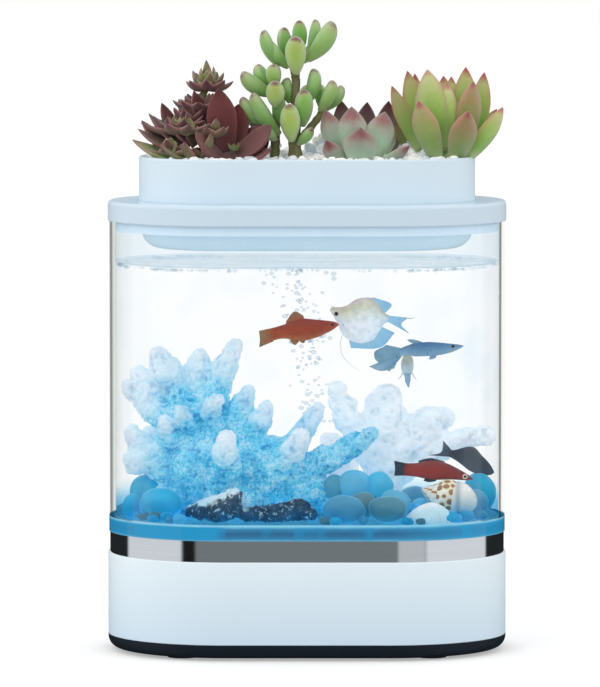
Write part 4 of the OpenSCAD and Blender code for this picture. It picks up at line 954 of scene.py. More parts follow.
# pale gourami, heading left
O, Y = (23.3, 137.7 + fz), 4.0
a = Acc()
fish_body(a, [(-13.5, 5.5, 4.9), (-12.6, 6.4, 3.4), (-11.0, 6.5, 0.6), (-8.7, 6.6, -4.4), (-6.2, 7.4, -7.0), (-2.5, 9.8, -8.6), (1.2, 10.6, -8.7), (4.9, 10.0, -7.2), (7.6, 6.6, -3.4), (9.4, 4.2, -0.6), (11.2, 3.1, 0.4)], O, Y, 0.30, power=0.75)
fin(a, [(10.8, 3.0), (11.1, 1.7), (10.8, 0.4)], [(19.6, 2.0), (16.6, -0.8), (20.2, -4.9)], O, Y, tone=1, turns=9)
fin(a, [(2.4, 10.2), (5.6, 8.8), (9.0, 4.4)], [(5.0, 10.6), (12.4, 7.8), (9.4, 3.6)], O, Y, tone=1)
fin(a, [(-5.6, -7.2), (1.4, -8.0), (8.4, -1.8)], [(-4.8, -10.9), (7.6, -10.6), (13.8, -4.4)], O, Y, tone=1, turns=12)
fin(a, [(-10.8, 2.0), (-9.6, 1.0), (-8.6, 0.0)], [(-9.4, 0.6), (-7.6, -0.8), (-8.0, -1.2)], O, Y - 2.2, lean=-1.0, tone=1)
p = curve([(-8.4, -5.2), (-9.2, -9.0), (-8.6, -13.0), (-6.4, -16.4), (-3.4, -18.8), (-1.2, -20.4)], 24)
v, f = tube([(O[0] + x, Y - 1.2, O[1] + z) for x, z in p], np.linspace(0.22, 0.12, 24), 8)
a.put(v, f, lon=0.2, hei=0.3, fin=0)
p = curve([(18.6, 2.0), (20.4, 1.7), (22.4, 2.2)], 10)
v, f = tube([(O[0] + x, Y, O[1] + z) for x, z in p], np.linspace(0.28, 0.12, 10), 8)
a.put(v, f, lon=0.9, hei=0.8, fin=0)
a.make("gourami_fish", fish_mat("gourami_scales", [(0.0, lin(220, 232, 242)), (0.45, lin(228, 235, 242)), (0.66, lin(206, 206, 186)), (0.84, lin(178, 170, 84)), (1.0, lin(170, 112, 88))],
                                [(0.0, lin(176, 170, 160)), (0.25, lin(206, 206, 204)), (0.6, lin(226, 234, 240)), (1.0, lin(150, 190, 214))], lin(150, 196, 218), lin(120, 182, 214), alpha=0.28, glow=0.36), "base")
eye(eyes, -10.9, 3.8, O, Y, 0.95, 1.0, 1.25)

# blue guppy, heading right
O, Y = (54.2, 127.2 + fz), -6.0
a = Acc()
fish_body(a, [(11.8, 1.5, 1.1), (9.9, 1.9, 0.0), (6.2, 2.3, -1.5), (1.2, 2.8, -2.6), (-3.7, 3.0, -3.0), (-8.7, 2.4, -3.1), (-11.8, 1.6, -2.6), (-15.0, 0.2, -3.2)], O, Y, 0.55)
fin(a, [(-14.4, 0.4), (-14.9, -1.4), (-14.4, -3.4)], [(-21.0, 1.8), (-25.8, -3.4), (-19.6, -9.6)], O, Y, nu=34, nv=14, wave=0.6, tone=1, turns=11)
fin(a, [(-15.6, 0.2), (-16.0, -1.2), (-16.4, -2.4)], [(-20.2, 1.6), (-25.4, -0.8), (-25.8, -4.0)], O, Y + 0.5, tone=1, wave=0.5)
fin(a, [(-15.8, -2.2), (-16.0, -3.0), (-15.6, -3.8)], [(-28.2, -7.4), (-23.0, -9.2), (-17.4, -8.2)], O, Y - 0.4, tone=1, wave=0.5)
fin(a, [(-9.6, 2.2), (-7.4, 2.6), (-5.2, 2.8)], [(-12.2, 3.8), (-10.2, 4.2), (-7.4, 3.6)], O, Y, tone=1)
fin(a, [(-2.0, -2.6), (-0.8, -2.6), (0.4, -2.5)], [(-3.0, -4.2), (-1.6, -4.4), (0.2, -3.6)], O, Y, tone=1)
a.make("guppy_fish", fish_mat("guppy_scales", [(0.0, lin(176, 208, 226)), (0.45, lin(120, 168, 202)), (0.8, lin(66, 112, 152)), (1.0, lin(52, 84, 116))],
                              [(0.0, lin(152, 182, 202)), (0.3, lin(100, 152, 190)), (0.6, lin(70, 124, 170)), (1.0, lin(130, 170, 196))], lin(120, 166, 194), lin(132, 176, 200), alpha=0.25, glow=0.12), "base")
eye(eyes, 7.3, 1.2, O, Y, 0.65, 1.0)

# a small pale fish seen from its front
O, Y = (42.5, 121.8 + fz), 2.0
a = Acc()
rings, lon, hei = [], [], []
for i in range(30):
    u = i / 29
    yy = Y + u * 14
    zc = O[1] + 0.6 - 9 * u ** 1.2
    w = 2.6 * math.sin(math.pi * min(1, 0.18 + u * 0.85)) ** 0.7 + 0.1
    hh = 3.0 * math.sin(math.pi * min(1, 0.18 + u * 0.85)) ** 0.7 + 0.2
    rings.append([(O[0] + w * math.cos(t), yy, zc + hh * math.sin(t)) for t in np.linspace(0, 2 * math.pi, 24, endpoint=False)])
    lon += [u] * 24
    hei += [0.5 + 0.5 * math.sin(t) for t in np.linspace(0, 2 * math.pi, 24, endpoint=False)]
v, f = loft(rings)
a.put(v, f, lon=lon + [0, 1], hei=hei + [0.5, 0.5], fin=0)
fin(a, [(-1.6, -3.0), (0.0, -4.0), (1.6, -3.0)], [(-0.9, -9.6), (0.6, -12.2), (1.4, -9.2)], O, Y + 6, lean=2, tone=1)
fin(a, [(-0.4, 2.2), (0.6, 2.6), (1.6, 2.2)], [(0.0, 5.4), (1.4, 6.8), (2.6, 5.0)], O, Y + 2, tone=1)
for s in (-1, 1):
    p = curve([(s * 1.8, -5.4), (s * 2.6, -6.8), (s * 3.8, -8.4)], 8)
    v, f = tube([(O[0] + x, Y + 3, O[1] + z) for x, z in p], np.linspace(0.3, 0.12, 8), 8)
    a.put(v, f, lon=0.5, hei=0.5, fin=0)
a.make("small_fish", fish_mat("small_fish_scales", [(0.0, lin(190, 212, 226)), (0.6, lin(196, 206, 204)), (1.0, lin(168, 170, 140))],
                              [(0.0, lin(168, 168, 130)), (0.2, lin(196, 206, 206)), (1.0, lin(150, 186, 210))], lin(160, 196, 216), lin(120, 166, 196), alpha=0.3, glow=0.2), "base")
eye(eyes, -0.1, 0.9, O, Y + 2.2, 0.55, 0.2)

# dark red fish with a black tail, heading right
O, Y = (53.6, 76.8 + fz), -14.0
a = Acc()
fish_body(a, [(16.2, -3.6, -4.1), (13.8, -1.7, -4.4), (9.8, 0.6, -4.2), (5.8, 2.6, -4.0), (1.2, 3.9, -4.2), (-3.5, 3.9, -3.8), (-6.9, 3.0, -3.0), (-10.4, 2.8, -2.6), (-13.0, 3.0, -2.4)], O, Y, 0.42)
fin(a, [(-12.6, 3.0), (-12.8, 0.3), (-12.6, -2.4)], [(-17.0, 3.9), (-16.6, 0.8), (-16.9, -2.5)], O, Y, tone=1)
fin(a, [(-6.6, 3.0), (-1.0, 4.0), (4.6, 3.0)], [(-6.8, 3.9), (-1.6, 5.0), (4.2, 3.6)], O, Y, tone=1)
fin(a, [(-4.0, -3.6), (-2.0, -3.9), (1.0, -4.1)], [(-4.6, -4.6), (-2.2, -5.2), (0.6, -4.8)], O, Y, tone=1)
a.make("dark_red_fish", fish_mat("dark_red_scales", [(0.0, lin(150, 66, 60)), (0.6, lin(150, 48, 46)), (0.85, lin(96, 44, 48)), (1.0, lin(54, 44, 50))],
                                 [(0.0, lin(70, 52, 52)), (0.25, lin(128, 52, 52)), (0.8, lin(172, 62, 56)), (1.0, lin(96, 52, 54))], lin(46, 58, 70), lin(54, 70, 84), alpha=0.1), "base")
eye(eyes, 12.9, -2.7, O, Y, 0.75, 1.1, 1.5)

# black fish, heading down to the right
O, Y = (70.6, 79.2 + fz), 0.0
a = Acc()
fish_body(a, [(8.5, -4.4, -5.0), (7.4, -2.2, -5.7), (5.4, 0.4, -6.0), (3.4, 2.4, -5.9), (0.6, 5.6, -5.2), (-2.3, 6.2, -3.8), (-5.2, 5.6, -1.5), (-7.5, 4.9, 0.2), (-10.2, 4.6, 1.8)], O, Y, 0.22, power=0.8)
fin(a, [(-9.6, 4.8), (-10.0, 3.4), (-9.6, 1.8)], [(-13.0, 8.8), (-14.0, 3.8), (-19.4, 2.5)], O, Y, tone=1, turns=6)
a.make("black_fish", fish_mat("black_fish_scales", [(0.0, lin(84, 98, 112)), (0.5, lin(62, 78, 92)), (1.0, lin(46, 58, 70))],
                              [(0.0, lin(76, 88, 98)), (0.4, lin(60, 76, 90)), (1.0, lin(54, 66, 78))], lin(62, 76, 90), lin(90, 106, 120), alpha=0.1), "base")
eyes.make("fish_eyes", eye_mat, "base")
g = Mat("fish_eye_ring")
rims.make("fish_eye_rings", g.done(g.principled(g.mix(g.noise(700, 2), lin(206, 170, 150), lin(236, 216, 200)), 0.3)), "base")

# ------------------------------------------------------------------ gravel in the planter

g = Mat("white_gravel")
t = g.attr("tone")
col = g.ramp(t, [(0.0, lin(206, 216, 222)), (0.3, lin(240, 243, 245)), (0.6, lin(253, 253, 252)), (0.85, lin(240, 236, 228)), (1.0, lin(188, 200, 208))])
col = g.mix(g.map(g.noise(300, 4), 0.35, 0.7, 0.0, 0.25), col, lin(204, 214, 222))
# painted glow: the gravel is drawn partly as emission of its own colour
gravel_mat = g.done(g.principled(col, 0.55, emit=col, strength=0.12, spec=0.35, normal=g.bump(g.noise(900, 3), 0.3, 0.0003)))
acc = Acc()
gv0, gf0 = ico(3)
r0 = np.random.default_rng(17)
TUBR = top("planter_tub").x - LX - 2
put = []
stems = [(-56, -6, 4), (-34, -14, 4), (-5, -8, 3.4), (23, -10, 5), (56, -6, 6)]
for layer, (zc, tries) in enumerate(((1.2, 5200), (3.6, 4200), (5.4, 900))):
    for i in range(tries):
        x, y = r0.uniform(-69, 69), r0.uniform(-37, 37)
        r = r0.uniform(1.5, 2.7)
        if not inside(x, y, TUBR - r - 0.6) or any(math.hypot(x - a, y - b) < c + r for a, b, c in stems):
            continue
        if layer == 2 and not (y > -8 and (r0.random() < 0.75)):
            continue
        z = SOIL + zc + r0.uniform(-0.4, 0.5) + (0.5 if y > 5 else 0)
        if any((x - a) ** 2 + (y - b) ** 2 + (z - c) ** 2 < ((r + d) * 0.86) ** 2 for a, b, c, d in put):
            continue
        put.append((x, y, z, r))
        ang = r0.uniform(0, 6.28)
        q = lumpy(gv0, 0.42, 1.0, i * 1.37 + layer * 50) * (r * r0.uniform(0.9, 1.25), r * r0.uniform(0.85, 1.1), r * r0.uniform(0.65, 0.95))
        q = np.column_stack([q[:, 0] * math.cos(ang) - q[:, 1] * math.sin(ang), q[:, 0] * math.sin(ang) + q[:, 1] * math.cos(ang), q[:, 2]])
        acc.put(q + (x, y, z), gf0, tone=r0.random())
for i in range(2600):
    xc, wide = ((8.5, 8.0), (45.5, 5.5), (-12, 5), (74, 4))[r0.integers(0, 4) if i % 3 == 0 else i % 2]
    x, y = xc + r0.normal(0, wide * 0.7), r0.uniform(-14, 16)
    r = r0.uniform(1.7, 3.1)
    if not inside(x, y, TUBR - r - 0.6) or any(math.hypot(x - a, y - b) < c * 0.6 + r for a, b, c in stems):
        continue
    h = (11.5 if xc > 0 else 7) * math.exp(-((x - xc) / wide / 1.3) ** 2) * math.exp(-((y - 4) / 11) ** 2)
    z = SOIL + 2.5 + h * r0.uniform(0.35, 1.0)
    if any((x - a) ** 2 + (y - b) ** 2 + (z - c) ** 2 < ((r + d) * 0.8) ** 2 for a, b, c, d in put):
        continue
    put.append((x, y, z, r))
    q = lumpy(gv0, 0.42, 1.0, i * 1.91 + 300) * (r * r0.uniform(0.9, 1.2), r * r0.uniform(0.85, 1.1), r * r0.uniform(0.7, 1.0))
    acc.put(q + (x, y, z), gf0, tone=r0.random())
acc.make("white_gravel_detail", gravel_mat, "planter", True, ["white_gravel"])

# ------------------------------------------------------------------ succulents


def leaf(acc, base, tip, width, thick, toward, bend=0.1, kind="rosette", g=0.0, nu=22, nv=20, spike=0.04, extend=1.0):
    """A fleshy leaf: its inner face looks toward a point, its outer face bulges."""
    base, tip, toward = (np.array(p, float) for p in (base, tip, toward))
    L = np.linalg.norm(tip - base)
    T0 = (tip - base) / L
    A = toward - (base + tip) / 2
    N0 = A - (A @ T0) * T0
    if np.linalg.norm(N0) < 1e-3:
        N0 = np.cross(T0, (1, 0, 0))
    N0 = unit(N0)
    ctrl = base + (tip - base) * 0.5 - N0 * bend * L
    rings, t_, e_, s_ = [], [], [], []
    us = np.concatenate([np.linspace(0, 0.8, nu - 8, endpoint=False), np.linspace(0.8, 1.0, 8)])
    for u in us:
        p = (1 - u) ** 2 * base + 2 * u * (1 - u) * ctrl + u * u * tip
        t = unit(2 * (1 - u) * (ctrl - base) + 2 * u * (tip - ctrl))
        n = unit(N0 - (N0 @ t) * t)
        w = np.cross(t, n)
        if kind == "bean":
            f = max(0.0, 1 - ((u - 0.58) / 0.425) ** 2) ** 0.5 if u > 0.58 else 0.34 + 0.66 * math.sin(math.pi / 2 * u / 0.58)
            g1 = f
            cup, keel = 0.0, 0.0
        elif kind == "sedum":
            f = 0.6 + 0.4 * math.sin(math.pi / 2 * min(1, u / 0.4)) if u < 0.4 else max(0, 1 - ((u - 0.4) / 0.6) ** 1.8) ** 0.9
            g1 = f ** 0.8
            cup, keel = 0.12, 0.2
        elif kind == "cusp":
            q = max(0.0, (u - 0.66) / 0.34)
            f = 0.5 + 0.5 * math.sin(math.pi / 2 * u / 0.66) if u < 0.66 else max(0, 1 - q ** 1.45) ** 0.85
            g1 = (0.8 + 0.2 * math.sin(math.pi * u)) * (1 if u < 0.7 else max(0.05, 1 - ((u - 0.7) / 0.3) ** 1.6) ** 0.6)
            cup, keel = 0.16, 0.3
        else:
            f = 0.55 + 0.45 * math.sin(math.pi / 2 * u / 0.56) if u < 0.56 else max(0, 1 - ((u - 0.56) / 0.44) ** 1.7) ** 0.86
            g1 = (0.75 + 0.25 * math.sin(math.pi * u)) * (1 if u < 0.7 else max(0, 1 - ((u - 0.7) / 0.3) ** 2) ** 0.5)
            cup, keel = 0.20, 0.25
        f = max(f, spike * (1.6 - u) if u > 0.9 else 0.02)
        g1 = max(g1, 0.03)
        hw, th = width / 2 * f, thick * g1
        ring = []
        for j in range(nv):
            a = 2 * math.pi * j / nv
            x, y = math.cos(a), math.sin(a)
            if y >= 0:
                off = th * 0.35 * y - cup * hw * (1 - x * x)
            else:
                off = th * 0.65 * y * (1 + keel * (1 - abs(x))) - cup * 0.35 * hw * (1 - x * x)
            ring.append(p + w * hw * math.copysign(abs(x) ** 0.9, x) + n * off)
            t_.append(u)
            e_.append(abs(x) ** 5)
            s_.append(0.5 + 0.5 * y)
        rings.append(ring)
    v, fc = loft(rings)
    k = random.random()
    acc.put(v, fc, t=t_ + [0, 1], e=e_ + [0, 1], side=s_ + [0.5, 0.5], g=g, rnd=k)


def plant_mat(name, along, edge, edge_amount, other, mottle, bloom_and_rim_sheen, rough=0.42, thru=0.18, inner=None):
    g = Mat(name)
    t, e, gg, rnd = g.attr("t"), g.attr("e"), g.attr("g"), g.attr("rnd")
    n = g.noise(140, 4, 0.6)
    tt = g.math("ADD", t, g.math("MULTIPLY", g.math("SUBTRACT", n, 0.5), 0.22))
    col = g.ramp(tt, along)
    if inner:
        col = g.mix(g.map(g.attr("side"), 0.45, 0.7, 0.0, inner[1]), col, inner[0])
    col = g.mix(gg, col, g.ramp(tt, other))
    col = g.mix(g.math("MULTIPLY", g.math("MULTIPLY", e, g.map(t, 0.15, 0.75)), edge_amount), col, edge)
    col = g.mix(g.map(g.noise(420, 3), 0.35, 0.7, 0.0, mottle), col, g.mix(1.0, col, (0.5, 0.5, 0.5), "MULTIPLY"))
    col = g.mix(g.map(rnd, 0.0, 1.0, 0.0, 0.32), col, g.mix(1.0, col, (0.62, 0.62, 0.62), "MULTIPLY"))
    # the waxy bloom is drawn as a pale colour growing at grazing angles: partly the leaves' real whitish wax, partly a
    # painted rim sheen
    fac = g.add("LayerWeight", "Facing", {"Blend": 0.35})
    col = g.mix(g.math("MULTIPLY", fac, bloom_and_rim_sheen), col, (0.86, 0.9, 0.84))
    sh = g.principled(col, rough, spec=0.4, normal=g.bump(g.noise(900, 2), 0.18, 0.0002))
    return g.done(g.blend(thru, sh, g.add("BsdfTranslucent", 0, {"Color": col})))


sz = SOIL - 203.5      # the lists count heights with the soil at 203.5


def S(p):
    return (p[0], p[1], p[2] + sz)


# green rosette with red edges
green_mat = plant_mat("green_rosette", [(0.0, lin(206, 222, 160)), (0.3, lin(152, 202, 88)), (0.62, lin(188, 222, 118)), (0.86, lin(218, 222, 152)), (0.96, lin(204, 118, 104)), (1.0, lin(186, 84, 80))],
                      lin(216, 132, 114), 0.85, [(0.0, lin(150, 176, 100)), (0.35, lin(140, 150, 92)), (0.7, lin(160, 104, 84)), (1.0, lin(150, 60, 60))], 0.12, 0.42)
rows = [((54.1, -12, 209), (46.6, -22, 232.5), 11.0, 0.42), ((62.4, -13, 208), (67.4, -23, 228.4), 11.4, 0.72), ((66.7, -9, 207.5), (82.2, -12, 229.5), 8.8, 0.0), ((55.7, -8, 211), (50.5, -9, 245.1), 14.0, 0.0),
        ((50.1, -4, 212), (42.2, -2, 244.3), 8.8, 0.15), ((59.5, -2, 213), (57.5, 3, 242.0), 9.2, 0.0), ((64.8, -7, 212), (69.8, -9, 240.3), 10.5, 0.68), ((65.9, 0, 214), (67.0, 6, 245.6), 9.6, 0.0),
        ((70.0, -4, 213), (74.6, -1, 243.7), 8.0, 0.0), ((47.9, -6, 211), (35.6, -5, 238.1), 7.2, 0.35), ((45.8, -1, 209), (33.9, 5, 230.9), 7.0, 0.9), ((49.1, 2, 212), (45.5, 9, 242.8), 7.5, 0.2),
        ((60.7, 4, 213), (61.0, 12, 241.4), 8.4, 0.0), ((58, -6, 211), (58.8, -10, 240), 9.5, 0.0), ((66, 3, 209), (75, 11, 233), 9, 0.1), ((58, 5, 209), (62, 19, 230), 10, 0.1), ((50, 3, 209), (44, 16, 231), 9.5, 0.1),
        ((55, 4, 210), (53, 14, 238), 8.5, 0.0), ((68, 0, 208), (80, 4, 228), 8, 0.1)]
acc = Acc()
for b, t, w, k in rows:
    front = t[1] < b[1] - 0.5 and t[1] < -8.5
    leaf(acc, S(b), S(t), w * (1.04 if front else 1.12), w * 0.34, S((58 + (b[0] - 58) * 0.3, 30, 250)) if front else S((58 + (t[0] - 58) * 0.35, -60, 262)), 0.10, "rosette", k)
v, f = ico(3)
acc.put(v * (6.5, 6.5, 5) + S((58, -4, 207)), f, t=0.1, e=0, side=0.5, g=0, rnd=0.5)
acc.make("green_rosette_detail", green_mat, "planter", True, ["green_rosette"])

# pale rosette with maroon points
pale_mat = plant_mat("pale_rosette", [(0.0, lin(222, 236, 212)), (0.5, lin(190, 222, 190)), (0.7, lin(184, 188, 170)), (0.84, lin(160, 98, 98)), (1.0, lin(112, 42, 48))],
                     lin(204, 172, 160), 0.3, [(0.0, lin(150, 150, 140)), (0.5, lin(120, 96, 100)), (1.0, lin(96, 44, 52))], 0.1, 0.55)
rows = [((17.5, -9, 206), (7.6, -13, 228.5), 10.4, 0.0), ((17.6, -4, 208), (14.3, 2, 231.8), 9.0, 0.75), ((20.1, -12, 206), (18.6, -15.5, 229.8), 12.6, 0.0), ((22.2, -15, 204.5), (22.4, -24, 221.5), 14.4, 0.12),
        ((26.0, -12, 206), (32.6, -14, 227.6), 12.8, 0.0), ((23.4, -3, 208), (25.4, 5, 230.9), 9.4, 1.0), ((27.1, -7, 206), (35.6, -6, 221.1), 9.4, 0.1), ((28.0, -15, 205.5), (43.0, -19, 213.6), 6.2, 0.2),
        ((21, -8, 208), (20.4, -8, 224), 7, 0.2), ((24, -9, 208), (27, -7, 223), 7, 0.2), ((19, -3, 206), (12, 6, 222), 9, 0.2), ((24, -2, 206), (27, 9, 221), 9, 0.2), ((16, -12, 205), (8, -21, 216), 9, 0.1), ((30, 0, 207), (34.5, 3, 231.5), 8.5, 0.8), ((33, 0, 207), (39.5, 4, 226.5), 7.5, 0.9), ((20, 0, 208), (20, 6, 227), 8, 0.8)]
acc = Acc()
for b, t, w, k in rows:
    front = t[1] < b[1] - 0.5
    leaf(acc, S(b), S(t), w * 1.0, w * 0.38, S((22 + (b[0] - 22) * 0.3, 20, 240)) if front else S((22 + (t[0] - 22) * 0.4, -50, 250)), 0.16, "cusp", k)
acc.put(v * (5.2, 5.2, 4) + S((22, -9, 206)), f, t=0.1, e=0, side=0.5, g=0, rnd=0.5)
acc.make("pale_rosette_detail", pale_mat, "planter", True, ["pale_rosette"])

# maroon rosette
maroon_mat = plant_mat("maroon_rosette", [(0.0, lin(86, 46, 46)), (0.4, lin(116, 52, 54)), (0.8, lin(132, 64, 64)), (1.0, lin(98, 44, 48))],
                       lin(168, 92, 92), 0.5, [(0.0, lin(110, 120, 66)), (0.5, lin(110, 136, 66)), (1.0, lin(100, 110, 60))], 0.2, 0.24)
rows = [((-33.6, -15, 210.0), (-37.0, -18, 237.6), 12.4, 0.0), ((-30.5, -11, 211), (-28.9, -8, 230.6), 10, 0.0), ((-31.5, -17, 209.0), (-15.0, -22, 222.5), 12.4, 0.0),
        ((-32.0, -19, 207.6), (-14.8, -25, 212.6), 7.8, 0.0), ((-34.4, -18, 207.6), (-46.6, -24, 219.6), 9.6, 0.0), ((-28.3, -12, 211), (-18.0, -8, 223.0), 9, 0.0),
        ((-34, -10, 209), (-42, -2, 224), 9, 0.0), ((-30, -9, 209), (-27, 3, 222), 9, 0.0), ((-28, -10, 208), (-16, -2, 216), 8, 0.0)]
acc = Acc()
for b, t, w, k in rows:
    leaf(acc, S(b), S(t), w * 1.04, w * 0.26, S((-31 + (t[0] + 31) * 0.4, -60, 270)), 0.12, "rosette", k, spike=0.05)
for i in range(7):
    a = i * 2.4
    leaf(acc, S((-30.5, -18.6, 211.5)), S((-30.5 + 2.6 * math.cos(a), -19.6 + 1.6 * math.sin(a), 214.6 + 0.5 * math.sin(a * 2))), 2.2, 1.1, S((-30.5, -18, 222)), 0.1, "sedum", 1.0, nu=14, nv=12)
acc.put(v * (5.5, 5, 4) + S((-32, -15, 207)), f, t=0.1, e=0, side=0.5, g=0, rnd=0.5)
acc.make("maroon_rosette_detail", maroon_mat, "planter", True, ["maroon_rosette"])

# jelly bean sedum
bean_mat = plant_mat("jelly_bean", [(0.0, lin(160, 192, 100)), (0.3, lin(112, 178, 70)), (0.78, lin(142, 202, 94)), (0.9, lin(170, 178, 112)), (0.95, lin(122, 50, 50))],
                     lin(214, 232, 182), 0.5, [(0.0, lin(196, 220, 128)), (0.5, lin(186, 220, 104)), (0.88, lin(184, 202, 108)), (0.95, lin(128, 54, 48))], 0.1, 0.62, rough=0.36)
rows = [((-11.5, -6, 246.6), (-17.9, -8, 261.7), 7.0, 0), ((-8.0, -3, 249.2), (-9.6, -1, 262.6), 6.8, 0), ((-3.3, -3, 251.3), (-3.3, -1, 265.5), 6.8, 0), ((0.3, -4, 251.3), (3.4, -3, 266.0), 6.0, 0),
        ((0.0, -8, 249.3), (10.4, -10, 265.4), 10.0, 0.3), ((-4.6, -10, 243.6), (-4.9, -15, 259.3), 9.6, 1.0), ((-7.6, -6, 246.0), (-15.6, -7, 257), 7.0, 0), ((-14.0, -5, 234.5), (-27.2, -7, 244.0), 8.6, 0.2),
        ((-14.4, -3, 237.1), (-20.8, 0, 247.0), 7.6, 0), ((-12.8, -8, 237.8), (-13.2, -9, 247.4), 7.8, 0.5), ((-12.8, -10, 229.8), (-12.9, -16, 240.6), 8.6, 1.0), ((0.0, -6, 231.0), (2.6, -6, 245.4), 7.6, 0.1),
        ((-7.0, -6, 231.0), (-8.0, -6, 241.6), 6.4, 0.1), ((-2.0, -10, 221.7), (-1.4, -14, 237.0), 8.6, 0.1), ((5.0, -7, 227.8), (10.6, -9, 240.6), 7.4, 0.4), ((7.7, -4, 228.2), (14.6, -3, 238.2), 6.4, 0),
        ((5.6, -3, 228.8), (5.0, 0, 238.6), 6.0, 0), ((-6.4, -12, 215.5), (-7.3, -18, 231.0), 9.2, 1.0), ((-11.3, -9, 218.2), (-22.6, -12, 235.5), 8.4, 0.1), ((-16.1, -6, 220.5), (-27.4, -4, 233.4), 7.6, 0),
        ((-10.5, -7, 221.5), (-10.8, -8, 234.0), 7.0, 0), ((-14.4, -3, 218.8), (-24.8, 1, 226.4), 6.8, 0), ((-4, 0, 249), (-8, 7, 259), 6.6, 0), ((-2, 0, 248), (4, 7, 257), 6.4, 0), ((-12, -1, 234), (-16, 6, 242), 6.6, 0),
        ((-2, -2, 229), (0, 6, 238), 6.4, 0), ((6, -1, 228), (11, 5, 236), 6, 0), ((-8, -2, 217), (-8, 7, 228), 7, 0), ((-14, 0, 217), (-20, 7, 227), 6.6, 0), ((-4, -11, 214), (2, -15, 221), 5.4, 0.1),
        ((-13, -10, 216), (-18, -16, 222), 6, 0.1)]
acc = Acc()
for b, t, w, k in rows:
    bb, tt = np.array(b, float), np.array(t, float)
    axis = np.array([-5.0, -6.0, max(b[2], t[2]) + 14])
    leaf(acc, S(b), S(t), w * 0.93, w * 0.8, S(axis), 0.08, "bean", k, spike=0.0)
acc.make("jelly_bean_detail", bean_mat, "planter", True, ["jelly_bean_plant"])
g = Mat("woody_stem")
col = g.ramp(g.noise(200, 4, vector=g.add("Mapping", 0, {"Vector": g.pos(), "Scale": (1, 1, 0.25)})), [(0.3, lin(86, 84, 52)), (0.6, lin(128, 128, 80)), (0.8, lin(104, 86, 62))])
stem_mat = g.done(g.principled(col, 0.6, normal=g.bump(g.noise(500, 3), 0.6, 0.0004)))
acc = Acc()
for pts, ra, rb in (([(-4.6, -8, 203.6), (-5.2, -8, 216), (-4.8, -7, 232), (-4.4, -6, 247)], 3.2, 1.35), ([(-13.5, -8, 203.6), (-13.4, -8, 212), (-13, -7, 222), (-13, -6, 236)], 2.2, 1.6),
                    ([(-4.6, -8, 214), (0, -8, 219), (5.6, -6, 226), (8, -5, 231)], 1.8, 1.4), ([(-5, -8, 221), (-9, -7, 226), (-12.6, -6, 234)], 1.7, 1.3), ([(-4.6, -6, 240), (-6, -5, 246), (-9.4, -5, 250)], 1.8, 1.3)):
    c = curve([S(p) for p in pts], 26)
    rad = np.linspace(ra, rb, 26) * (1 + 0.08 * np.sin(np.arange(26) * 1.9))
    vv, ff = tube(c, rad, 16)
    acc.put(vv, ff)
acc.make("jelly_bean_stems", stem_mat, "planter")

# red sedum with several heads
sedum_mat = plant_mat("red_sedum", [(0.0, lin(130, 104, 78)), (0.3, lin(128, 70, 72)), (0.8, lin(104, 46, 56)), (1.0, lin(96, 42, 52))],
                      lin(206, 150, 148), 0.6, [(0.0, lin(110, 170, 62)), (0.5, lin(134, 178, 80)), (0.82, lin(168, 170, 112)), (1.0, lin(140, 84, 80))], 0.12, 0.3)
acc = Acc()


def head(c, rings, green, lean=(0, 0, 1)):
    """A head of pointed leaves: rings of (count, start, reach, rise, width, greenness)."""
    c = np.array(c, float)
    for n, a0, reach, rise, w, k in rings:
        for i in range(n):
            a = math.radians(a0 + 360 * i / n + random.uniform(-9, 9))
            q = reach * random.uniform(0.85, 1.12)
            b = c + np.array([math.cos(a) * 0.9, math.sin(a) * 0.9, 0])
            t = c + np.array([math.cos(a) * q, math.sin(a) * q, rise * random.uniform(0.85, 1.15)])
            leaf(acc, S(b), S(t), w * random.uniform(1.5, 1.85), w * 0.55, S(c + np.array([0, 0, 25])), 0.14, "sedum", k, nu=16, nv=12)


head((-42, -2.5, 237), [(7, 12, 10, 3.5, 4.4, 0.0), (6, 40, 6.6, 7, 3.8, 0.35), (4, 15, 2.6, 8.5, 3.2, 1.0)], 0.4)
leaf(acc, S((-41.5, -2, 238)), S((-42.4, -3, 249)), 4.2, 2, S((-42, 3, 260)), 0.05, "sedum", 0.5)
head((-45.5, -3.4, 229), [(8, 0, 11, 3, 4.6, 0.0), (6, 25, 7, 6, 4.0, 0.05)], 0.1)
head((-48, -4, 222.5), [(9, 14, 13, 1.5, 4.8, 0.0), (8, 30, 9, 6, 4.4, 0.0), (6, 0, 5.5, 9.5, 3.8, 0.1)], 0.1)
head((-53, -9, 219.5), [(9, 5, 16, 3.4, 5.0, 0.15), (7, 25, 10.5, 6, 4.4, 0.1), (6, 0, 5.5, 6.5, 3.4, 0.9), (3, 20, 1.8, 6.5, 2.6, 1.0)], 0.6)
head((-40, -13, 217.5), [(7, 0, 8.5, 4.5, 4.2, 0.2), (4, 20, 4, 7, 3.4, 0.3)], 0.2)
head((-57, -10, 210.5), [(7, 150, 12, 2.2, 5.0, 0.45), (5, 180, 8, 5, 4.4, 0.15)], 0.2)
head((-46, -14, 208.5), [(6, 200, 7, 4.4, 4.6, 0.3)], 0.2)
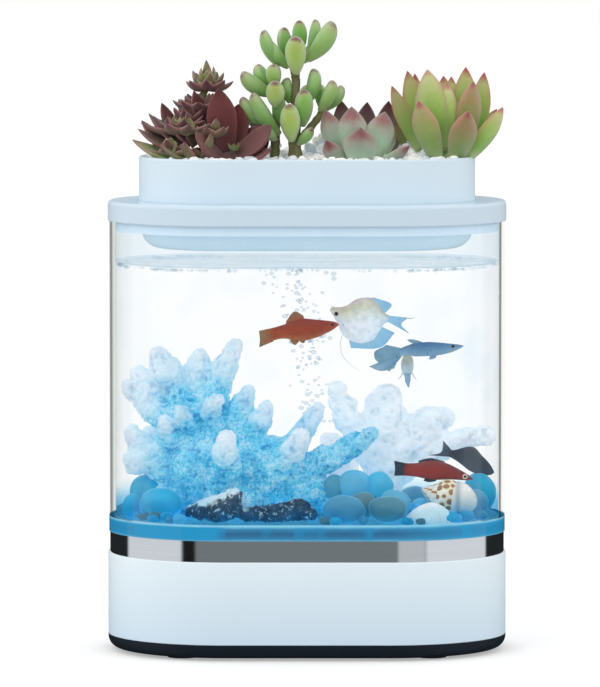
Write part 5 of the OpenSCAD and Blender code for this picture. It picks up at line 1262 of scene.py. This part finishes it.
for b, t, w, k in [((-49.1, -12, 207.2), (-73.4, -14, 216.0), 8.0, 1.0), ((-49.2, -15, 207.8), (-61.6, -20, 214.2), 5.0, 0.5), ((-46.6, -14, 206.4), (-51.2, -22, 215.3), 6.6, 0.3), ((-60, -8, 215), (-69.6, -8, 223.8), 5.2, 0.0),
                   ((-55, -5, 219), (-61.2, -4, 231.0), 5.2, 0.0), ((-42, -10, 216), (-36.4, -12, 225.4), 4.8, 0.6), ((-52, -11, 214), (-66.5, -13, 227.0), 5.4, 0.0), ((-54, -12, 212), (-71, -13, 220.5), 5.6, 0.1),
                   ((-47, -13, 213), (-50.5, -17, 227.5), 5.0, 0.1), ((-49, -12, 214), (-58.5, -17, 226.0), 5.2, 0.0), ((-44, -8, 224), (-47.5, -11, 236.5), 4.6, 0.0), ((-43, -8, 224), (-41, -12, 235.5), 4.4, 0.1),
                   ((-44, -14, 208), (-40.5, -21, 219.0), 5.6, 0.5), ((-45, -12, 214), (-41, -16.4, 221), 4.6, 0.9)]:
    leaf(acc, S(b), S(t), w * 1.35, w * 0.42, S((b[0], b[1] - 20, 260)), 0.1, "sedum", k)
for c, r, n in (((-50.5, -15, 220), 3.4, 8), ((-43, -6, 239), 2.8, 7), ((-57.5, -15, 212), 2.6, 6)):
    for i in range(n):
        a = math.radians(20 + 360 * i / n)
        b = np.array(c, float) + (math.cos(a) * 0.8, 0, math.sin(a) * 0.8)
        t = np.array(c, float) + (math.cos(a) * r, -2.6 + 0.8 * math.sin(a), 2.4 + math.sin(a) * r)
        leaf(acc, S(b), S(t), 3.6, 1.7, S((c[0], c[1] - 14, c[2] + 6)), 0.12, "sedum", 1.0, nu=14, nv=12)
acc.make("red_sedum_detail", sedum_mat, "planter", True, ["red_sedum"])
acc = Acc()
for pts, ra, rb in (([(-54, -6, 203.6), (-51, -5, 214), (-46.5, -3.5, 226), (-42.4, -2.5, 238)], 2.6, 1.5), ([(-54, -7, 204), (-54, -9, 212), (-53, -9, 220)], 2.4, 1.8), ([(-46, -8, 203.8), (-42, -12, 211), (-40, -13, 218)], 2, 1.4)):
    c = curve([S(p) for p in pts], 24)
    vv, ff = tube(c, np.linspace(ra, rb, 24) * (1 + 0.08 * np.sin(np.arange(24) * 2.3)), 14)
    acc.put(vv, ff)
acc.make("red_sedum_stems", stem_mat, "planter")

# ------------------------------------------------------------------ room

sc = bpy.context.scene
bpy.ops.mesh.primitive_plane_add(size=12, location=(0, 0, 0))
floor = bpy.context.object
floor.name = "floor"
g = Mat("pale_floor")
col = g.mix(g.noise(3, 2), (0.62, 0.62, 0.62), (0.64, 0.64, 0.64))
dif = g.add("BsdfDiffuse", 0, {"Color": col})
glow = g.math("MULTIPLY", g.add("LightPath", "Is Camera Ray"), 0.38)
floor.data.materials.append(g.done(g.add("AddShader", 0, {0: dif, 1: g.add("Emission", 0, {"Color": (1, 1, 1), "Strength": glow})})))
floor.visible_glossy = False

w = bpy.data.worlds.new("studio")
sc.world = w
w.use_nodes = True
t = w.node_tree
t.nodes.clear()
out = t.nodes.new("ShaderNodeOutputWorld")
tc = t.nodes.new("ShaderNodeTexCoord")
sep = t.nodes.new("ShaderNodeSeparateXYZ")
t.links.new(tc.outputs["Generated"], sep.inputs[0])
neg = t.nodes.new("ShaderNodeMath")
neg.operation = "MULTIPLY"
neg.inputs[1].default_value = -1
t.links.new(sep.outputs["Y"], neg.inputs[0])
atan = t.nodes.new("ShaderNodeMath")
atan.operation = "ARCTAN2"
t.links.new(sep.outputs["X"], atan.inputs[0])
t.links.new(neg.outputs[0], atan.inputs[1])
mr = t.nodes.new("ShaderNodeMapRange")
for k, x in (("From Min", -math.pi), ("From Max", math.pi)):
    mr.inputs[k].default_value = x
t.links.new(atan.outputs[0], mr.inputs["Value"])
ramp = t.nodes.new("ShaderNodeValToRGB")
stops = [(-180, 0.02), (-116, 0.02), (-112, 0.70), (-46, 0.70), (-43, 0.012), (-32, 0.012), (-29, 0.20), (9, 0.20), (11, 0.52), (35, 0.52), (37, 0.42), (40, 0.72), (112, 0.72), (115, 0.02), (180, 0.02)]
e = ramp.color_ramp.elements
while len(e) < len(stops):
    e.new(1)
for k, (a, c) in zip(e, stops):
    k.position = (a / 180 + 1) / 2
    k.color = (c * (0.87 if c < 0.3 else 0.95), c, c * 1.05, 1)
t.links.new(mr.outputs[0], ramp.inputs[0])
upm = t.nodes.new("ShaderNodeMapRange")
for k, x in (("From Min", 0.25), ("From Max", 0.6)):
    upm.inputs[k].default_value = x
t.links.new(sep.outputs["Z"], upm.inputs["Value"])
mixc = t.nodes.new("ShaderNodeMix")
mixc.data_type = "RGBA"
t.links.new(upm.outputs[0], mixc.inputs[0])
t.links.new(ramp.outputs[0], mixc.inputs[6])
mixc.inputs[7].default_value = (1, 1, 1, 1)
bg1, bg2 = t.nodes.new("ShaderNodeBackground"), t.nodes.new("ShaderNodeBackground")
lp = t.nodes.new("ShaderNodeLightPath")
# the camera sees plain white; surfaces are lit a little less, and cooler, from the front than from the sides
soft = t.nodes.new("ShaderNodeValToRGB")
e = soft.color_ramp.elements
cols = [(0.0, (1.0, 1.0, 1.0)), (0.20, (1.85, 1.76, 1.70)), (0.34, (1.12, 1.08, 1.06)), (0.5, (0.78, 0.81, 0.84)), (0.63, (0.86, 0.88, 0.90)), (0.75, (2.0, 1.9, 1.82)), (1.0, (1.0, 1.0, 1.0))]
while len(e) < len(cols):
    e.new(1)
for k, (p, c) in zip(e, cols):
    k.position = p
    k.color = (*c, 1)
t.links.new(mr.outputs[0], soft.inputs[0])
over = t.nodes.new("ShaderNodeMix")
over.data_type = "RGBA"
t.links.new(upm.outputs[0], over.inputs[0])
t.links.new(soft.outputs[0], over.inputs[6])
over.inputs[7].default_value = (1.0, 1.0, 1.0, 1)
mixs = t.nodes.new("ShaderNodeMix")
mixs.data_type = "RGBA"
t.links.new(lp.outputs["Is Camera Ray"], mixs.inputs[0])
t.links.new(over.outputs[2], mixs.inputs[6])
mixs.inputs[7].default_value = (1, 1, 1, 1)
t.links.new(mixs.outputs[2], bg1.inputs[0])
t.links.new(mixc.outputs[2], bg2.inputs[0])
ms = t.nodes.new("ShaderNodeMixShader")
t.links.new(lp.outputs["Is Glossy Ray"], ms.inputs[0])
t.links.new(bg1.outputs[0], ms.inputs[1])
t.links.new(bg2.outputs[0], ms.inputs[2])
t.links.new(ms.outputs[0], out.inputs["Surface"])


def area(name, loc, aim, size, power, color=(1, 1, 1)):
    d = bpy.data.lights.new(name, "AREA")
    d.size, d.energy, d.color = size, power, color
    o = bpy.data.objects.new(name, d)
    o.location = loc
    o.rotation_mode = "QUATERNION"
    o.rotation_quaternion = (Vector(aim) - Vector(loc)).to_track_quat("-Z", "Y")
    sc.collection.objects.link(o)
    return o


area("key", (-0.9, -1.3, 1.5), (0, 0, 0.15), 0.8, 5)

cam = bpy.data.cameras.new("camera")
cam.sensor_width = 36
cam.lens = 368.05
cam.clip_start, cam.clip_end = 0.1, 30
co = bpy.data.objects.new("camera", cam)
co.location = (-0.00296, -2.958, 0.351)
co.rotation_euler = (math.radians(90 - 4.29), 0, 0)
sc.collection.objects.link(co)
sc.camera = co
sc.view_settings.view_transform = "Standard"
sc.view_settings.look = "None"
sc.cycles.transparent_max_bounces = 40
sc.cycles.max_bounces = 10
sc.cycles.use_denoising = True

bpy.context.view_layer.update()
